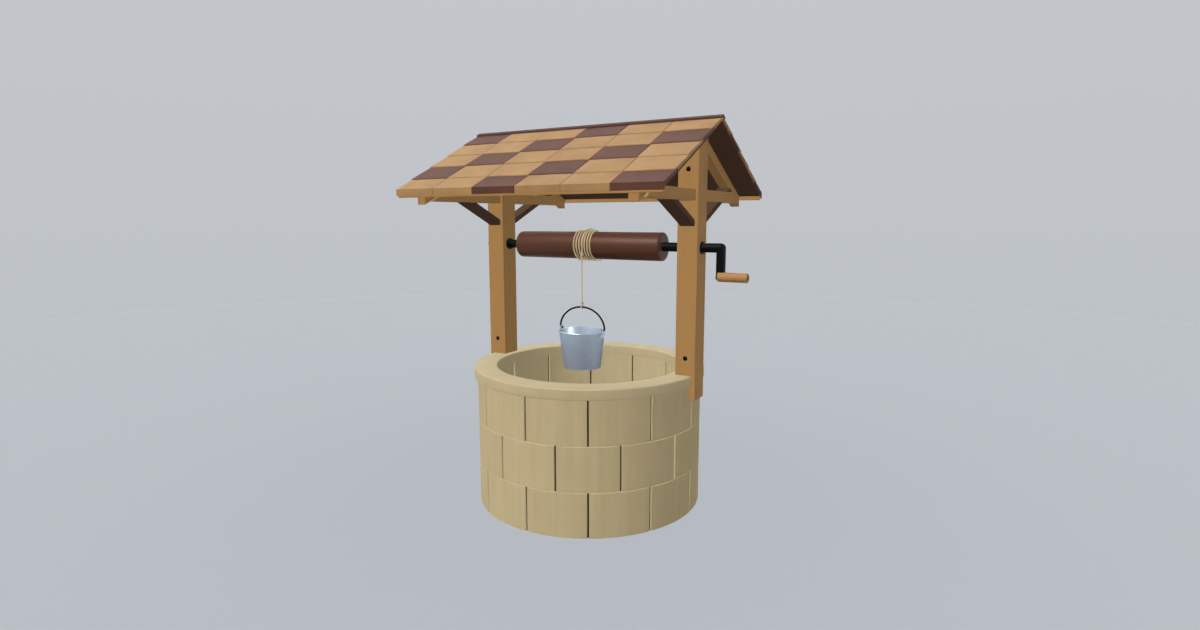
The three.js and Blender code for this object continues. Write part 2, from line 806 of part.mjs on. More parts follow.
const windingPath = ropePath();
const pathLength = (points) => points.slice(1).reduce((sum, p, i) => sum + p.distanceTo(points[i]), 0);
place('rope_winding', facingOut(tube(windingPath, ropeRadius, ropeSides)), hemp);
console.log(`rope winding: length ${pathLength(windingPath).toFixed(0)} mm`);
console.log(`rope winding: least gap ${leastGap(windingPath).toFixed(2)} mm`);

function makeDrum() {
  const body = solid(barX(drumRadius, centred(0, drumLength), 0, axisHeight, drumSteps));
  const bore = barX(axleRadius + axleGap, centred(0, drumLength + 2 * cutOver), 0, axisHeight, axleSteps);
  const pinHole = barY(
    drumPinRadius + fitGap,
    drumPinX,
    [drumPinStart - drumPinDepth - fitGap, drumRadius + cutOver],
    axisHeight,
    pinSteps,
  );
  const anchorHole = tube(anchorPoints(fitGap), ropeRadius + anchorHoleGap, fallSides);
  place('windlass_drum', shaped(carve(body, [bore, pinHole, anchorHole])), drumTimber);
}

makeDrum();

function makeRopeFall() {
  const section = new THREE.Shape(
    Array.from({ length: fallSides }, (_, k) => {
      const angle = (2 * Math.PI * k) / fallSides;
      return new THREE.Vector2(ropeRadius * Math.cos(angle), ropeRadius * Math.sin(angle));
    }),
  );
  const route = new THREE.LineCurve3(
    new THREE.Vector3(fallPlace, bucketPlace, bailCrown + fitGap),
    new THREE.Vector3(fallPlace, bucketPlace, fallTop),
  );
  const sweep = { steps: fallSteps, extrudePath: route, bevelEnabled: false };
  const fall = new THREE.ExtrudeGeometry(section, sweep);
  place('rope_fall', facingOut(fall), hemp);
}

makeRopeFall();

// Grip: a turned handle that spins on a pin riveted through the crank's lug
function makeGrip() {
  const body = solid(barX(gripRadius, [gripStart, gripEnd], 0, gripHeight, axleSteps));
  const reach = [gripStart - cutOver, gripEnd + cutOver];
  const bore = barX(gripPinRadius + axleGap, reach, 0, gripHeight, axleSteps);
  const recess = barX(
    gripPinHeadRadius + axleGap,
    [gripEnd - gripRecess, gripEnd + cutOver],
    0,
    gripHeight,
    axleSteps,
  );
  place('crank_grip', shaped(carve(body, [bore, recess])), postTimber);
  const headEnd = gripEnd - gripRecess + fitGap + gripPinHeadThick;
  const shank = barX(
    gripPinRadius,
    [crankX - axleRadius - gripPinProud, gripEnd - gripRecess + 2 * fitGap],
    0,
    gripHeight,
    pinSteps,
  );
  const head = barX(gripPinHeadRadius, [gripEnd - gripRecess + fitGap, headEnd], 0, gripHeight, pinSteps);
  place('crank_grip_pin', shaped(joined([shank, head])), blackSteel);
}

makeGrip();

// Bucket: a tapered sheet wall with a rolled rim and a ledge that its base rests on, two ears and a bail
const hanging = new THREE.Group();
hanging.position.set(fallPlace, bucketPlace, pivotHeight);
well.add(hanging);

const rimTopLocal = -earPivotRise;
const footLocal = rimTopLocal - bucketHeight;
const wallAt = (height) =>
  bucketFootRadius + ((bucketRimRadius - bucketFootRadius) * (height - footLocal)) / bucketHeight;

function makeBucket() {
  const rollCentre = [bucketRimRadius, rimTopLocal - rimRollRadius];
  const under = rimTopLocal - 2 * rimRollRadius;
  const profile = [
    [wallAt(footLocal), footLocal],
    [wallAt(under), under],
    ...arcPoints(rollCentre, rimRollRadius, [-Math.PI / 2, Math.PI / 2], rimRollSteps),
    [bucketRimRadius - bucketWall, rimTopLocal],
    [wallAt(footLocal + bucketWall) - bucketWall, footLocal + bucketWall],
    [bucketFootRadius - bucketLedge, footLocal + bucketWall],
    [bucketFootRadius - bucketLedge, footLocal],
  ];
  place('bucket_body', facingOut(turned(profile, bucketSteps)), galvanised, hanging);
  const seat = footLocal + bucketWall + fitGap;
  const base = barZ(
    wallAt(seat) - bucketWall - 2 * fitGap,
    0,
    0,
    [seat, seat + bucketBaseThick],
    bucketSteps,
  );
  place('bucket_base', facingOut(base), galvanised, hanging);
}

makeBucket();

const earInner = bucketRimRadius + rimRollRadius + rimGap;
const earOuter = earInner + earThick;

function makeEar({ name, sign }) {
  const plateX = [sign * earInner, sign * earOuter];
  const plate = block(plateX, centred(0, 2 * earHalfWidth), [-earDrop, 0]);
  const round = barX(earHalfWidth, plateX, 0, 0, pinSteps);
  const foot = block(
    [sign * (wallAt(-earDrop) - earBite), sign * earOuter],
    centred(0, 2 * earHalfWidth),
    [-earDrop, -earDrop + earFoot],
  );
  const outside = [
    [0, footLocal - cutOver],
    [wallAt(footLocal - cutOver) + fitGap, footLocal - cutOver],
    [wallAt(rimTopLocal) + fitGap, rimTopLocal],
    [0, rimTopLocal],
  ];
  const eye = barX(
    bailRadius + earEyeGap,
    [sign * (earInner - cutOver), sign * (earOuter + cutOver)],
    0,
    0,
    axleSteps,
  );
  const body = carve(joined([plate, round, foot]), [turned(outside, bucketSteps), eye]);
  place(`bucket_ear_${name}`, shaped(body), galvanised, hanging);
}

sides.forEach(makeEar);

function makeBail() {
  const bow = Array.from({ length: bailSteps + 1 }, (_, k) => {
    const angle = (Math.PI * k) / bailSteps;
    return new THREE.Vector3(bailReach * Math.cos(angle), 0, bailRise * Math.sin(angle));
  });
  const ends = sides.flatMap(({ sign }) => [
    new THREE.SphereGeometry(bailRadius, fallSides, ropeSides).translate(sign * bailReach, 0, 0),
    barX(bailRadius, [sign * (bailReach - bailHook), sign * bailReach], 0, 0, fallSides),
  ]);
  place('bucket_bail', shaped(joined([tube(bow, bailRadius, fallSides), ...ends])), blackSteel, hanging);
}

makeBail();

// The origin is on the ground, under the middle of the whole well with its roof and crank.
well.position.x = (roofHalfLength - gripEnd) / 2;

export default well;
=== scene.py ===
"""A wishing well planter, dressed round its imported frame.

Metres, +Z up. X runs along the ridge and the drum, and the bucket hangs on the -Y side.
"""

import logging
import math
from collections.abc import Callable, Mapping, Sequence
from dataclasses import dataclass, field
from enum import Enum
from typing import Any

import bmesh
import bpy
from mathutils import Matrix, Vector


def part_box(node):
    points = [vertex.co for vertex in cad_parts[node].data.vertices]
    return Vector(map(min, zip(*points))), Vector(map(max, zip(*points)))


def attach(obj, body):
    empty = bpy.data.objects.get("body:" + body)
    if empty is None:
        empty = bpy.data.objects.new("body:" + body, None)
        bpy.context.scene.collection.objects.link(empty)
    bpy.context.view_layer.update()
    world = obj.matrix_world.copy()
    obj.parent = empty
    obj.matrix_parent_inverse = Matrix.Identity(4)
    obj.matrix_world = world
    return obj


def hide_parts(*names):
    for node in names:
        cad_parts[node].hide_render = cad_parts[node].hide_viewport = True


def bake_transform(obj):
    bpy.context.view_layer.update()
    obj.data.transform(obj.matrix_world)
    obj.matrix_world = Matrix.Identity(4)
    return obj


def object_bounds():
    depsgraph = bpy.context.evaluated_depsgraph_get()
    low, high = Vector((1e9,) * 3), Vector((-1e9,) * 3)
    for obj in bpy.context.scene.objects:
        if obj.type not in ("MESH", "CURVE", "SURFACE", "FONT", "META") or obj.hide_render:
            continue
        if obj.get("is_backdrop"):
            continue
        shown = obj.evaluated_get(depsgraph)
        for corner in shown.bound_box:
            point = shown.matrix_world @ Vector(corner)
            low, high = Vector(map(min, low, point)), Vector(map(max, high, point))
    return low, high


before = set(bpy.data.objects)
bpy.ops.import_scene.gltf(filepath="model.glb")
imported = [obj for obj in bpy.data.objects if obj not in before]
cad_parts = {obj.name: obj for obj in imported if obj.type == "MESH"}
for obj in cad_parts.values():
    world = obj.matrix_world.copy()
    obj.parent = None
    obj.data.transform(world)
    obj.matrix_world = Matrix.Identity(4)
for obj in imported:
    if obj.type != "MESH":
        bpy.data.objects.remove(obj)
cad_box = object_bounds()
log = logging.getLogger("well")

MM = 0.001
PHOTO_WIDTH = 1200  # pixels
SENSOR = 36  # the camera's width in mm, for which its lens is given
Outline = list[tuple[float, float]]
Colour = tuple[float, float, float, float]


# Small tools for nodes and meshes


def linear(code: str) -> Colour:
    """Turns an sRGB hex colour into linear light.

    Args:
        code: Six hex digits.

    Returns:
        Red, green, blue and an alpha of 1, all linear.
    """
    parts = [int(code[i : i + 2], 16) / 255 for i in (0, 2, 4)]
    red, green, blue = (
        c / 12.92 if c <= 0.04045 else ((c + 0.055) / 1.055) ** 2.4 for c in parts
    )
    return red, green, blue, 1.0


def add(
    tree: bpy.types.NodeTree,
    kind: str,
    inputs: Mapping[str | int, Any] | None = None,
    **settings: Any,
) -> bpy.types.Node:
    """Adds one node with its settings and links.

    Args:
        tree: The tree that gets the node.
        kind: Blender's name for the node.
        inputs: For an input's name or number, the socket to link or the value to set.
        **settings: The node's own properties.

    Returns:
        The new node.
    """
    node = tree.nodes.new(kind)
    for name, value in settings.items():
        setattr(node, name, value)
    for socket, value in (inputs or {}).items():
        if isinstance(value, bpy.types.NodeSocket):
            tree.links.new(value, node.inputs[socket])
        else:
            node.inputs[socket].default_value = value
    return node


def colour_ramp(
    tree: bpy.types.NodeTree, place: bpy.types.NodeSocket, stops: Sequence[tuple[float, str]]
) -> bpy.types.NodeSocket:
    """Runs a value through a row of colours.

    Args:
        tree: The tree that gets the ramp.
        place: The value, from 0 to 1.
        stops: The place and the hex colour of each stop, in order.

    Returns:
        The socket of the colour.
    """
    ramp = add(tree, "ShaderNodeValToRGB", {0: place})
    elements = ramp.color_ramp.elements
    while len(elements) < len(stops):
        elements.new(0.5)
    for element, (spot, code) in zip(elements, stops):
        element.position, element.color = spot, linear(code)
    return ramp.outputs[0]


def new_piece(name: str, points: Sequence[Any], faces: Sequence[Any]) -> bpy.types.Object:
    """Makes a mesh object of points and faces.

    Args:
        name: The piece's name.
        points: Corner points in metres.
        faces: Corner numbers of each face.

    Returns:
        The object, in the scene.
    """
    mesh = bpy.data.meshes.new(name)
    mesh.from_pydata([tuple(p) for p in points], [], [tuple(f) for f in faces])
    piece = bpy.data.objects.new(name, mesh)
    bpy.context.scene.collection.objects.link(piece)
    return piece


def reshape(piece: bpy.types.Object, change: Callable[[bmesh.types.BMesh], None]) -> None:
    """Runs a change on a piece's mesh.

    Args:
        piece: The mesh object.
        change: What is done to its bmesh.
    """
    work = bmesh.new()
    work.from_mesh(piece.data)
    change(work)
    work.to_mesh(piece.data)
    work.free()
    piece.data.update()


def face_out(piece: bpy.types.Object) -> bpy.types.Object:
    """Merges doubles and turns every face of a closed piece outwards.

    Args:
        piece: The mesh object.

    Returns:
        The same object.
    """

    def change(work: bmesh.types.BMesh) -> None:
        """Merges, then recalculates."""
        bmesh.ops.remove_doubles(work, verts=work.verts, dist=1e-6)
        bmesh.ops.recalc_face_normals(work, faces=work.faces)

    reshape(piece, change)
    return piece


def settle(piece: bpy.types.Object) -> bpy.types.Object:
    """Turns a piece's modifiers into plain mesh.

    Args:
        piece: The object with live modifiers.

    Returns:
        The same object, with none.
    """
    graph = bpy.context.evaluated_depsgraph_get()
    graph.update()
    made = bpy.data.meshes.new_from_object(
        piece.evaluated_get(graph), preserve_all_data_layers=True, depsgraph=graph
    )
    piece.modifiers.clear()
    piece.data = made
    made.name = piece.name
    return piece


def smooth(piece: bpy.types.Object, sharp: float = 32.0) -> bpy.types.Object:
    """Shades a piece smooth, apart from its sharp edges.

    Args:
        piece: The mesh object.
        sharp: The angle in degrees from which an edge stays sharp.

    Returns:
        The same object.
    """
    piece.data.shade_smooth()
    piece.data.set_sharp_from_angle(angle=math.radians(sharp))
    return piece


def ease_edges(
    piece: bpy.types.Object,
    width: float,
    least: float = 0.008,
    steps: int = 2,
    share: Callable[[bmesh.types.BMEdge], float] = lambda edge: 1.0,
) -> bpy.types.Object:
    """Takes the sharp arrises off a piece, as a plane or a file does.

    Args:
        piece: The mesh object.
        width: Width of the eased edge in metres.
        least: Edges shorter than this, as round a bore, stay as they are.
        steps: Faces across the eased edge.
        share: For an edge, the share of the width that it gets.

    Returns:
        The same object.
    """

    def mark(work: bmesh.types.BMesh) -> None:
        """Gives each long sharp edge its share of the width.

        Args:
            work: The piece's bmesh.
        """
        weight = work.edges.layers.float.new("bevel_weight_edge")
        sharp = math.radians(30)
        for edge in work.edges:
            if len(edge.link_faces) == 2 and edge.calc_length() > least:
                if edge.calc_face_angle(0.0) > sharp:
                    edge[weight] = share(edge)

    reshape(piece, mark)
    bevel = piece.modifiers.new("eased", "BEVEL")
    bevel.width = width
    bevel.segments = steps
    bevel.limit_method = "WEIGHT"
    bevel.offset_type = "WIDTH" if steps == 1 else "OFFSET"
    settle(piece)
    smooth(piece, 40)
    piece.modifiers.new("flats", "WEIGHTED_NORMAL").keep_sharp = True
    return settle(piece)


def from_node(node: str, name: str) -> bpy.types.Object:
    """Copies a CAD node's mesh with its loose triangles merged to flat faces.

    Args:
        node: The CAD node.
        name: The new piece's name.

    Returns:
        The new object.
    """
    piece = bpy.data.objects.new(name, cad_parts[node].data.copy())
    piece.data.materials.clear()
    bpy.context.scene.collection.objects.link(piece)
    flat = math.radians(0.5)  # two faces that meet at less than this count as one

    def change(work: bmesh.types.BMesh) -> None:
        """Merges the triangles."""
        bmesh.ops.remove_doubles(work, verts=work.verts, dist=2e-6)
        bmesh.ops.dissolve_limit(work, angle_limit=flat, verts=work.verts, edges=work.edges)

    reshape(piece, change)
    return piece


def fillet(outline: Outline, radii: Sequence[float], steps: int = 4) -> Outline:
    """Rounds the corners of a closed outline.

    Args:
        outline: The corners in order.
        radii: The rounding of each corner, 0 for none.
        steps: Faces in each rounding.

    Returns:
        The outline with arcs in place of its rounded corners.
    """
    made: Outline = []
    count = len(outline)
    for i, radius in enumerate(radii):
        corner = Vector(outline[i])
        if not radius:
            made.append(tuple(corner))
            continue
        before = (Vector(outline[i - 1]) - corner).normalized()
        after = (Vector(outline[(i + 1) % count]) - corner).normalized()
        half = before.angle(after) / 2
        reach = radius / math.tan(half)
        centre = corner + (before + after).normalized() * (radius / math.sin(half))
        start = corner + before * reach - centre
        turn = start.angle_signed(corner + after * reach - centre)
        for k in range(steps + 1):
            made.append(tuple(centre + Matrix.Rotation(-turn * k / steps, 2) @ start))
    return made


def turned(name: str, profile: Outline, steps: int, place: Matrix) -> bpy.types.Object:
    """Turns a closed profile round an axis.

    Args:
        name: The piece's name.
        profile: Radius and height of each point, closed by itself.
        steps: Faces round the axis.
        place: Where the axis stands, its own direction being Z.

    Returns:
        The new object.
    """
    points: list[Vector] = []
    for k in range(steps):
        angle = 2 * math.pi * k / steps
        c, s = math.cos(angle), math.sin(angle)
        points += [place @ Vector((r * c, r * s, z)) for r, z in profile]
    n = len(profile)
    faces = [
        (a * n + i, b * n + i, b * n + j, a * n + j)
        for a, b in ((k, (k + 1) % steps) for k in range(steps))
        for i, j in ((m, (m + 1) % n) for m in range(n))
    ]
    piece = new_piece(name, points, faces)

    def change(work: bmesh.types.BMesh) -> None:
        """Closes the poles, where a whole ring falls on one point.

        Args:
            work: The piece's bmesh.
        """
        bmesh.ops.remove_doubles(work, verts=work.verts, dist=1e-7)
        bmesh.ops.dissolve_degenerate(work, edges=work.edges, dist=1e-7)
        bmesh.ops.recalc_face_normals(work, faces=work.faces)

    reshape(piece, change)
    return piece


def prism(name: str, outline: Outline, ends: tuple[float, float]) -> bpy.types.Object:
    """Runs an outline of Y and Z along X.

    Args:
        name: The piece's name.
        outline: The section's corners.
        ends: X of both ends.

    Returns:
        The new object.
    """
    n = len(outline)
    points = [(x, y, z) for x in ends for y, z in outline]
    sides = [(i, (i + 1) % n, n + (i + 1) % n, n + i) for i in range(n)]
    faces = [tuple(range(n)), tuple(range(2 * n - 1, n - 1, -1)), *sides]
    return face_out(new_piece(name, points, faces))


def tube(name: str, path: Sequence[Vector], radius: float, sides: int) -> bpy.types.Object:
    """Makes a round bar along a path, with closed ends.

    Args:
        name: The piece's name.
        path: The points that it follows.
        radius: Half its thickness.
        sides: Faces round it.

    Returns:
        The new object.
    """
    normal = (path[1] - path[0]).orthogonal().normalized()
    points: list[Vector] = []
    for i, point in enumerate(path):
        along = (path[min(i + 1, len(path) - 1)] - path[max(i - 1, 0)]).normalized()
        normal = (normal - along * normal.dot(along)).normalized()
        across = along.cross(normal)
        for k in range(sides):
            angle = 2 * math.pi * k / sides
            points.append(
                point + radius * (normal * math.cos(angle) + across * math.sin(angle))
            )
    faces: list[Sequence[int]] = [
        (r + k, r + (k + 1) % sides, r + sides + (k + 1) % sides, r + sides + k)
        for r in range(0, (len(path) - 1) * sides, sides)
        for k in range(sides)
    ]
    last = (len(path) - 1) * sides
    faces += [tuple(range(sides)), tuple(last + k for k in reversed(range(sides)))]
    return face_out(new_piece(name, points, faces))


def smoothed(points: Sequence[Vector], steps: int) -> list[Vector]:
    """Runs a smooth curve through points.

    Args:
        points: What the curve passes.
        steps: Points that it gets from one to the next.

    Returns:
        The points of the curve.
    """
    made: list[Vector] = []
    for i in range(len(points) - 1):
        p0, p1, p2, p3 = (points[min(max(i + k, 0), len(points) - 1)] for k in (-1, 0, 1, 2))
        for k in range(steps):
            t = k / steps
            made.append(
                0.5
                * (
                    2 * p1
                    + (p2 - p0) * t
                    + (2 * p0 - 5 * p1 + 4 * p2 - p3) * t * t
                    + (3 * p1 - p0 - 3 * p2 + p3) * t**3
                )
            )
    made.append(points[-1].copy())
    return made


def join(name: str, parts: Sequence[bpy.types.Object]) -> bpy.types.Object:
    """Puts several pieces in one mesh.

    Args:
        name: The name of the one that is left.
        parts: The objects, which are used up.

    Returns:
        The new object.
    """
    work = bmesh.new()
    for part in parts:
        work.from_mesh(part.data)
        bpy.data.objects.remove(part)
    piece = new_piece(name, [], [])
    work.to_mesh(piece.data)
    work.free()
    return piece


def cut(piece: bpy.types.Object, cutters: Sequence[bpy.types.Object]) -> bpy.types.Object:
    """Cuts closed shapes out of a piece.

    Args:
        piece: The closed mesh object.
        cutters: What is cut away; these are used up.

    Returns:
        The same object.
    """
    for cutter in cutters:
        boolean = piece.modifiers.new("cut", "BOOLEAN")
        boolean.object = cutter
        boolean.solver = "EXACT"
    settle(piece)
    for cutter in cutters:
        bpy.data.objects.remove(cutter)
    return piece


def lay_grain(
    piece: bpy.types.Object, along: Vector, heart: tuple[float, float], tone: float
) -> bpy.types.Object:
    """Stores where each point lies in the tree, or the clay, that a piece was made from.

    Args:
        piece: The mesh object.
        along: The direction of its fibres, or of a tile's extrusion.
        heart: How far the tree's heart lies from the piece's middle, across and up.
        tone: From 0 to 1, which shifts the figure and the shade of this piece.

    Returns:
        The same object.
    """
    along = along.normalized()
    across = Vector((1, 0, 0)) if abs(along.x) < 0.9 else Vector((0, 1, 0))
    across = (across - along * across.dot(along)).normalized()
    up = along.cross(across)
    corners = [v.co for v in piece.data.vertices]
    middle = sum(corners, Vector()) / len(corners)
    values: list[float] = []
    for co in corners:
        p = co - middle
        values += [p.dot(along), p.dot(across) + heart[0], p.dot(up) + heart[1]]
    grain = piece.data.attributes.new("grain", "FLOAT_VECTOR", "POINT")
    grain.data.foreach_set("vector", values)
    shade = piece.data.attributes.new("tone", "FLOAT", "POINT")
    shade.data.foreach_set("value", [tone] * len(corners))
    return piece


# Geometry rules: trees that repeat a shape or run it along a path


@dataclass
class Rule:
    """A geometry tree with named inputs, run once on a piece.

    Attributes:
        name: The tree's name.
        inputs: The kind of socket of each named input.
        tree: The geometry tree, which is made empty.
        start: Its node that holds the inputs.
    """

    name: str
    inputs: Mapping[str, str]
    tree: bpy.types.NodeTree = field(init=False)
    start: bpy.types.Node = field(init=False)

    def __post_init__(self) -> None:
        """Makes the empty tree and its sockets."""
        self.tree = bpy.data.node_groups.new(self.name, "GeometryNodeTree")
        faces = self.tree.interface
        faces.new_socket("Geometry", in_out="INPUT", socket_type="NodeSocketGeometry")
        for name, kind in self.inputs.items():
            faces.new_socket(name, in_out="INPUT", socket_type=f"NodeSocket{kind}")
        faces.new_socket("Geometry", in_out="OUTPUT", socket_type="NodeSocketGeometry")
        self.start = add(self.tree, "NodeGroupInput")

    def value(self, name: str) -> bpy.types.NodeSocket:
        """The socket of a named input."""
        return self.start.outputs[name]

    def node(self, kind: str, inputs: Mapping[str | int, Any] | None = None, **settings: Any) -> Any:
        """Adds one node to this tree."""
        return add(self.tree, kind, inputs, **settings)

    def end(self, result: bpy.types.NodeSocket, finishes: Sequence[bpy.types.Material]) -> None:
        """Turns the copies into mesh, sets the materials and closes the tree.

        Args:
            result: What the tree has made.
            finishes: One material, or two where the attribute "second" picks the other.
        """
        real = self.node("GeometryNodeRealizeInstances", {0: result})
        shown = self.node(
            "GeometryNodeSetMaterial", {"Geometry": real.outputs[0], "Material": finishes[0]}
        )
        for other in finishes[1:]:
            picked = self.node(
                "GeometryNodeInputNamedAttribute", {"Name": "second"}, data_type="BOOLEAN"
            )
            shown = self.node(
                "GeometryNodeSetMaterial",
                {
                    "Geometry": shown.outputs[0],
                    "Selection": picked.outputs[0],
                    "Material": other,
                },
            )
        self.node("NodeGroupOutput", {0: shown.outputs[0]})

    def run(self, piece: bpy.types.Object, **values: Any) -> bpy.types.Object:
        """Runs the tree on a piece and keeps the plain mesh.

        Args:
            piece: The mesh object that the tree starts from.
            **values: A value for each named input.

        Returns:
            The same object.
        """
        modifier = piece.modifiers.new(self.name, "NODES")
        modifier.node_group = self.tree
        sockets = {
            item.name: item.identifier
            for item in self.tree.interface.items_tree
            if item.in_out == "INPUT"
        }
        for name, value in values.items():
            modifier[sockets[name]] = value
        return settle(piece)


def circle_rule(finish: bpy.types.Material) -> Rule:
    """A rule that sets copies of a piece round a standing axis.

    Args:
        finish: The material of every copy.

    Returns:
        The rule, with the inputs Count, Centre and Turn.
    """
    rule = Rule("set_in_a_ring", {"Count": "Int", "Centre": "Vector", "Turn": "Float"})
    spots = rule.node(
        "GeometryNodeMeshLine",
        {"Count": rule.value("Count"), "Start Location": rule.value("Centre"), "Offset": (0, 0, 0)},
    )
    number = rule.node("GeometryNodeInputIndex")
    step = rule.node("ShaderNodeMath", {0: math.tau, 1: rule.value("Count")}, operation="DIVIDE")
    turn = rule.node(
        "ShaderNodeMath",
        {0: number.outputs[0], 1: step.outputs[0], 2: rule.value("Turn")},
        operation="MULTIPLY_ADD",
    )
    spin = rule.node("ShaderNodeCombineXYZ", {"Z": turn.outputs[0]})
    copies = rule.node(
        "GeometryNodeInstanceOnPoints",
        {"Points": spots.outputs[0], "Instance": rule.value("Geometry"), "Rotation": spin.outputs[0]},
    )
    rule.end(with_tone(rule, copies.outputs[0]), [finish])
    return rule


def with_tone(rule: Rule, copies: bpy.types.NodeSocket) -> bpy.types.NodeSocket:
    """Gives each copy its own shade.

    Args:
        rule: The rule that is being built.
        copies: The instances.

    Returns:
        The instances with the attribute "tone", from 0 to 1.
    """
    chance = rule.node("FunctionNodeRandomValue", {"Seed": 11}, data_type="FLOAT")
    stored = rule.node(
        "GeometryNodeStoreNamedAttribute",
        {"Geometry": copies, "Name": "tone", "Value": chance.outputs[1]},
        data_type="FLOAT",
        domain="INSTANCE",
    )
    return stored.outputs[0]


def line_rule(finishes: Sequence[bpy.types.Material]) -> Rule:
    """A rule that sets copies of a piece in a straight line.

    Args:
        finishes: The material of the copies, and the one of every third copy if that differs.

    Returns:
        The rule, with the inputs Count, Start and Step, and Third: which of each three copies
        gets the second material, from 0 to 2, or -1 for none.
    """
    kinds = {"Count": "Int", "Start": "Vector", "Step": "Vector", "Third": "Int"}
    rule = Rule("set_in_a_line", kinds)
    spots = rule.node(
        "GeometryNodeMeshLine",
        {
            "Count": rule.value("Count"),
            "Start Location": rule.value("Start"),
            "Offset": rule.value("Step"),
        },
    )
    copies = rule.node(
        "GeometryNodeInstanceOnPoints",
        {"Points": spots.outputs[0], "Instance": rule.value("Geometry")},
    )
    number = rule.node("GeometryNodeInputIndex")
    place = rule.node("ShaderNodeMath", {0: number.outputs[0], 1: 3.0}, operation="MODULO")
    picked = rule.node(
        "FunctionNodeCompare",
        {0: place.outputs[0], 1: rule.value("Third"), "Epsilon": 0.1},
        data_type="FLOAT",
        operation="EQUAL",
    )
    stored = rule.node(
        "GeometryNodeStoreNamedAttribute",
        {
            "Geometry": with_tone(rule, copies.outputs[0]),
            "Name": "second",
            "Value": picked.outputs[0],
        },
        data_type="BOOLEAN",
        domain="INSTANCE",
    )
    rule.end(stored.outputs[0], finishes)
    return rule


def laid_rule(finish: bpy.types.Material) -> Rule:
    """A rule that lays three strands round each other along a path of edges.

    The section is the outline of three round strands that touch, and it turns once a lay.

    Args:
        finish: The rope's material.

    Returns:
        The rule, with the inputs Radius, Lay and Spacing.
    """
    rule = Rule("three_strand_lay", {"Radius": "Float", "Lay": "Float", "Spacing": "Float"})
    line = rule.node("GeometryNodeMeshToCurve", {0: rule.value("Geometry")})
    fine = rule.node(
        "GeometryNodeResampleCurve",
        {"Curve": line.outputs[0], "Length": rule.value("Spacing")},
        mode="LENGTH",
    )
    run = rule.node("GeometryNodeSplineParameter")
    turns = rule.node(
        "ShaderNodeMath", {0: run.outputs["Length"], 1: rule.value("Lay")}, operation="DIVIDE"
    )
    tilt = rule.node("ShaderNodeMath", {0: turns.outputs[0], 1: math.tau}, operation="MULTIPLY")
    twisted = rule.node(
        "GeometryNodeSetCurveTilt", {"Curve": fine.outputs[0], "Tilt": tilt.outputs[0]}
    )
    marked = rule.node(
        "GeometryNodeStoreNamedAttribute",
        {"Geometry": twisted.outputs[0], "Name": "run", "Value": run.outputs["Length"]},
        data_type="FLOAT",
        domain="POINT",
    )
    ring = rule.node("GeometryNodeCurvePrimitiveCircle", {"Resolution": 24, "Radius": 1.0})
    share = rule.node("GeometryNodeSplineParameter")
    thirds = rule.node("ShaderNodeMath", {0: share.outputs["Factor"], 1: 3.0}, operation="MULTIPLY")
    part = rule.node("ShaderNodeMath", {0: thirds.outputs[0]}, operation="FRACT")
    third = math.tau / 3
    angle = rule.node(
        "ShaderNodeMath", {0: part.outputs[0], 1: third, 2: -third / 2}, operation="MULTIPLY_ADD"
    )
    # Three round strands that touch just fit in a circle of radius 1. The loose yarns between
    # them fill the grooves up to a part of that radius.
    strand = 1 / (1 + 2 / math.sqrt(3))
    centre = 1 - strand
    filling = 0.72
    cosine = rule.node("ShaderNodeMath", {0: angle.outputs[0]}, operation="COSINE")
    sine = rule.node("ShaderNodeMath", {0: angle.outputs[0]}, operation="SINE")
    near = rule.node("ShaderNodeMath", {0: cosine.outputs[0], 1: centre}, operation="MULTIPLY")
    off = rule.node("ShaderNodeMath", {0: sine.outputs[0], 1: centre}, operation="MULTIPLY")
    square = rule.node("ShaderNodeMath", {0: off.outputs[0], 1: off.outputs[0]}, operation="MULTIPLY")
    rest = rule.node("ShaderNodeMath", {0: strand**2, 1: square.outputs[0]}, operation="SUBTRACT")
    root = rule.node("ShaderNodeMath", {0: rest.outputs[0], 1: 0.0}, operation="MAXIMUM")
    far = rule.node("ShaderNodeMath", {0: root.outputs[0], 1: 0.5}, operation="POWER")
    reach = rule.node("ShaderNodeMath", {0: near.outputs[0], 1: far.outputs[0]}, operation="ADD")
    filled = rule.node("ShaderNodeMath", {0: reach.outputs[0], 1: filling}, operation="MAXIMUM")
    size = rule.node(
        "ShaderNodeMath", {0: filled.outputs[0], 1: rule.value("Radius")}, operation="MULTIPLY"
    )
    spot = rule.node("GeometryNodeInputPosition")
    scaled = rule.node(
        "ShaderNodeVectorMath", {0: spot.outputs[0], "Scale": size.outputs[0]}, operation="SCALE"
    )
    lobed = rule.node(
        "GeometryNodeSetPosition", {"Geometry": ring.outputs[0], "Position": scaled.outputs[0]}
    )
    section = rule.node(
        "GeometryNodeStoreNamedAttribute",
        {"Geometry": lobed.outputs[0], "Name": "strand", "Value": thirds.outputs[0]},
        data_type="FLOAT",
        domain="POINT",
    )
    body = rule.node(
        "GeometryNodeCurveToMesh",
        {"Curve": marked.outputs[0], "Profile Curve": section.outputs[0], "Fill Caps": True},
    )
    rule.end(body.outputs[0], [finish])
    return rule


# Finishes


def shader(name: str, **constants: Any) -> tuple[bpy.types.NodeTree, bpy.types.Node]:
    """Starts a material with one surface shader.

    Args:
        name: The material's name.
        **constants: The shader's inputs, with _ for a space, that are the same all over.

    Returns:
        The node tree and its surface shader.
    """
    material = bpy.data.materials.new(name)
    material.use_nodes = True
    tree = material.node_tree
    tree.nodes.clear()
    values = {key.replace("_", " "): value for key, value in constants.items()}
    surface = add(tree, "ShaderNodeBsdfPrincipled", values)
    add(tree, "ShaderNodeOutputMaterial", {"Surface": surface.outputs[0]})
    return tree, surface


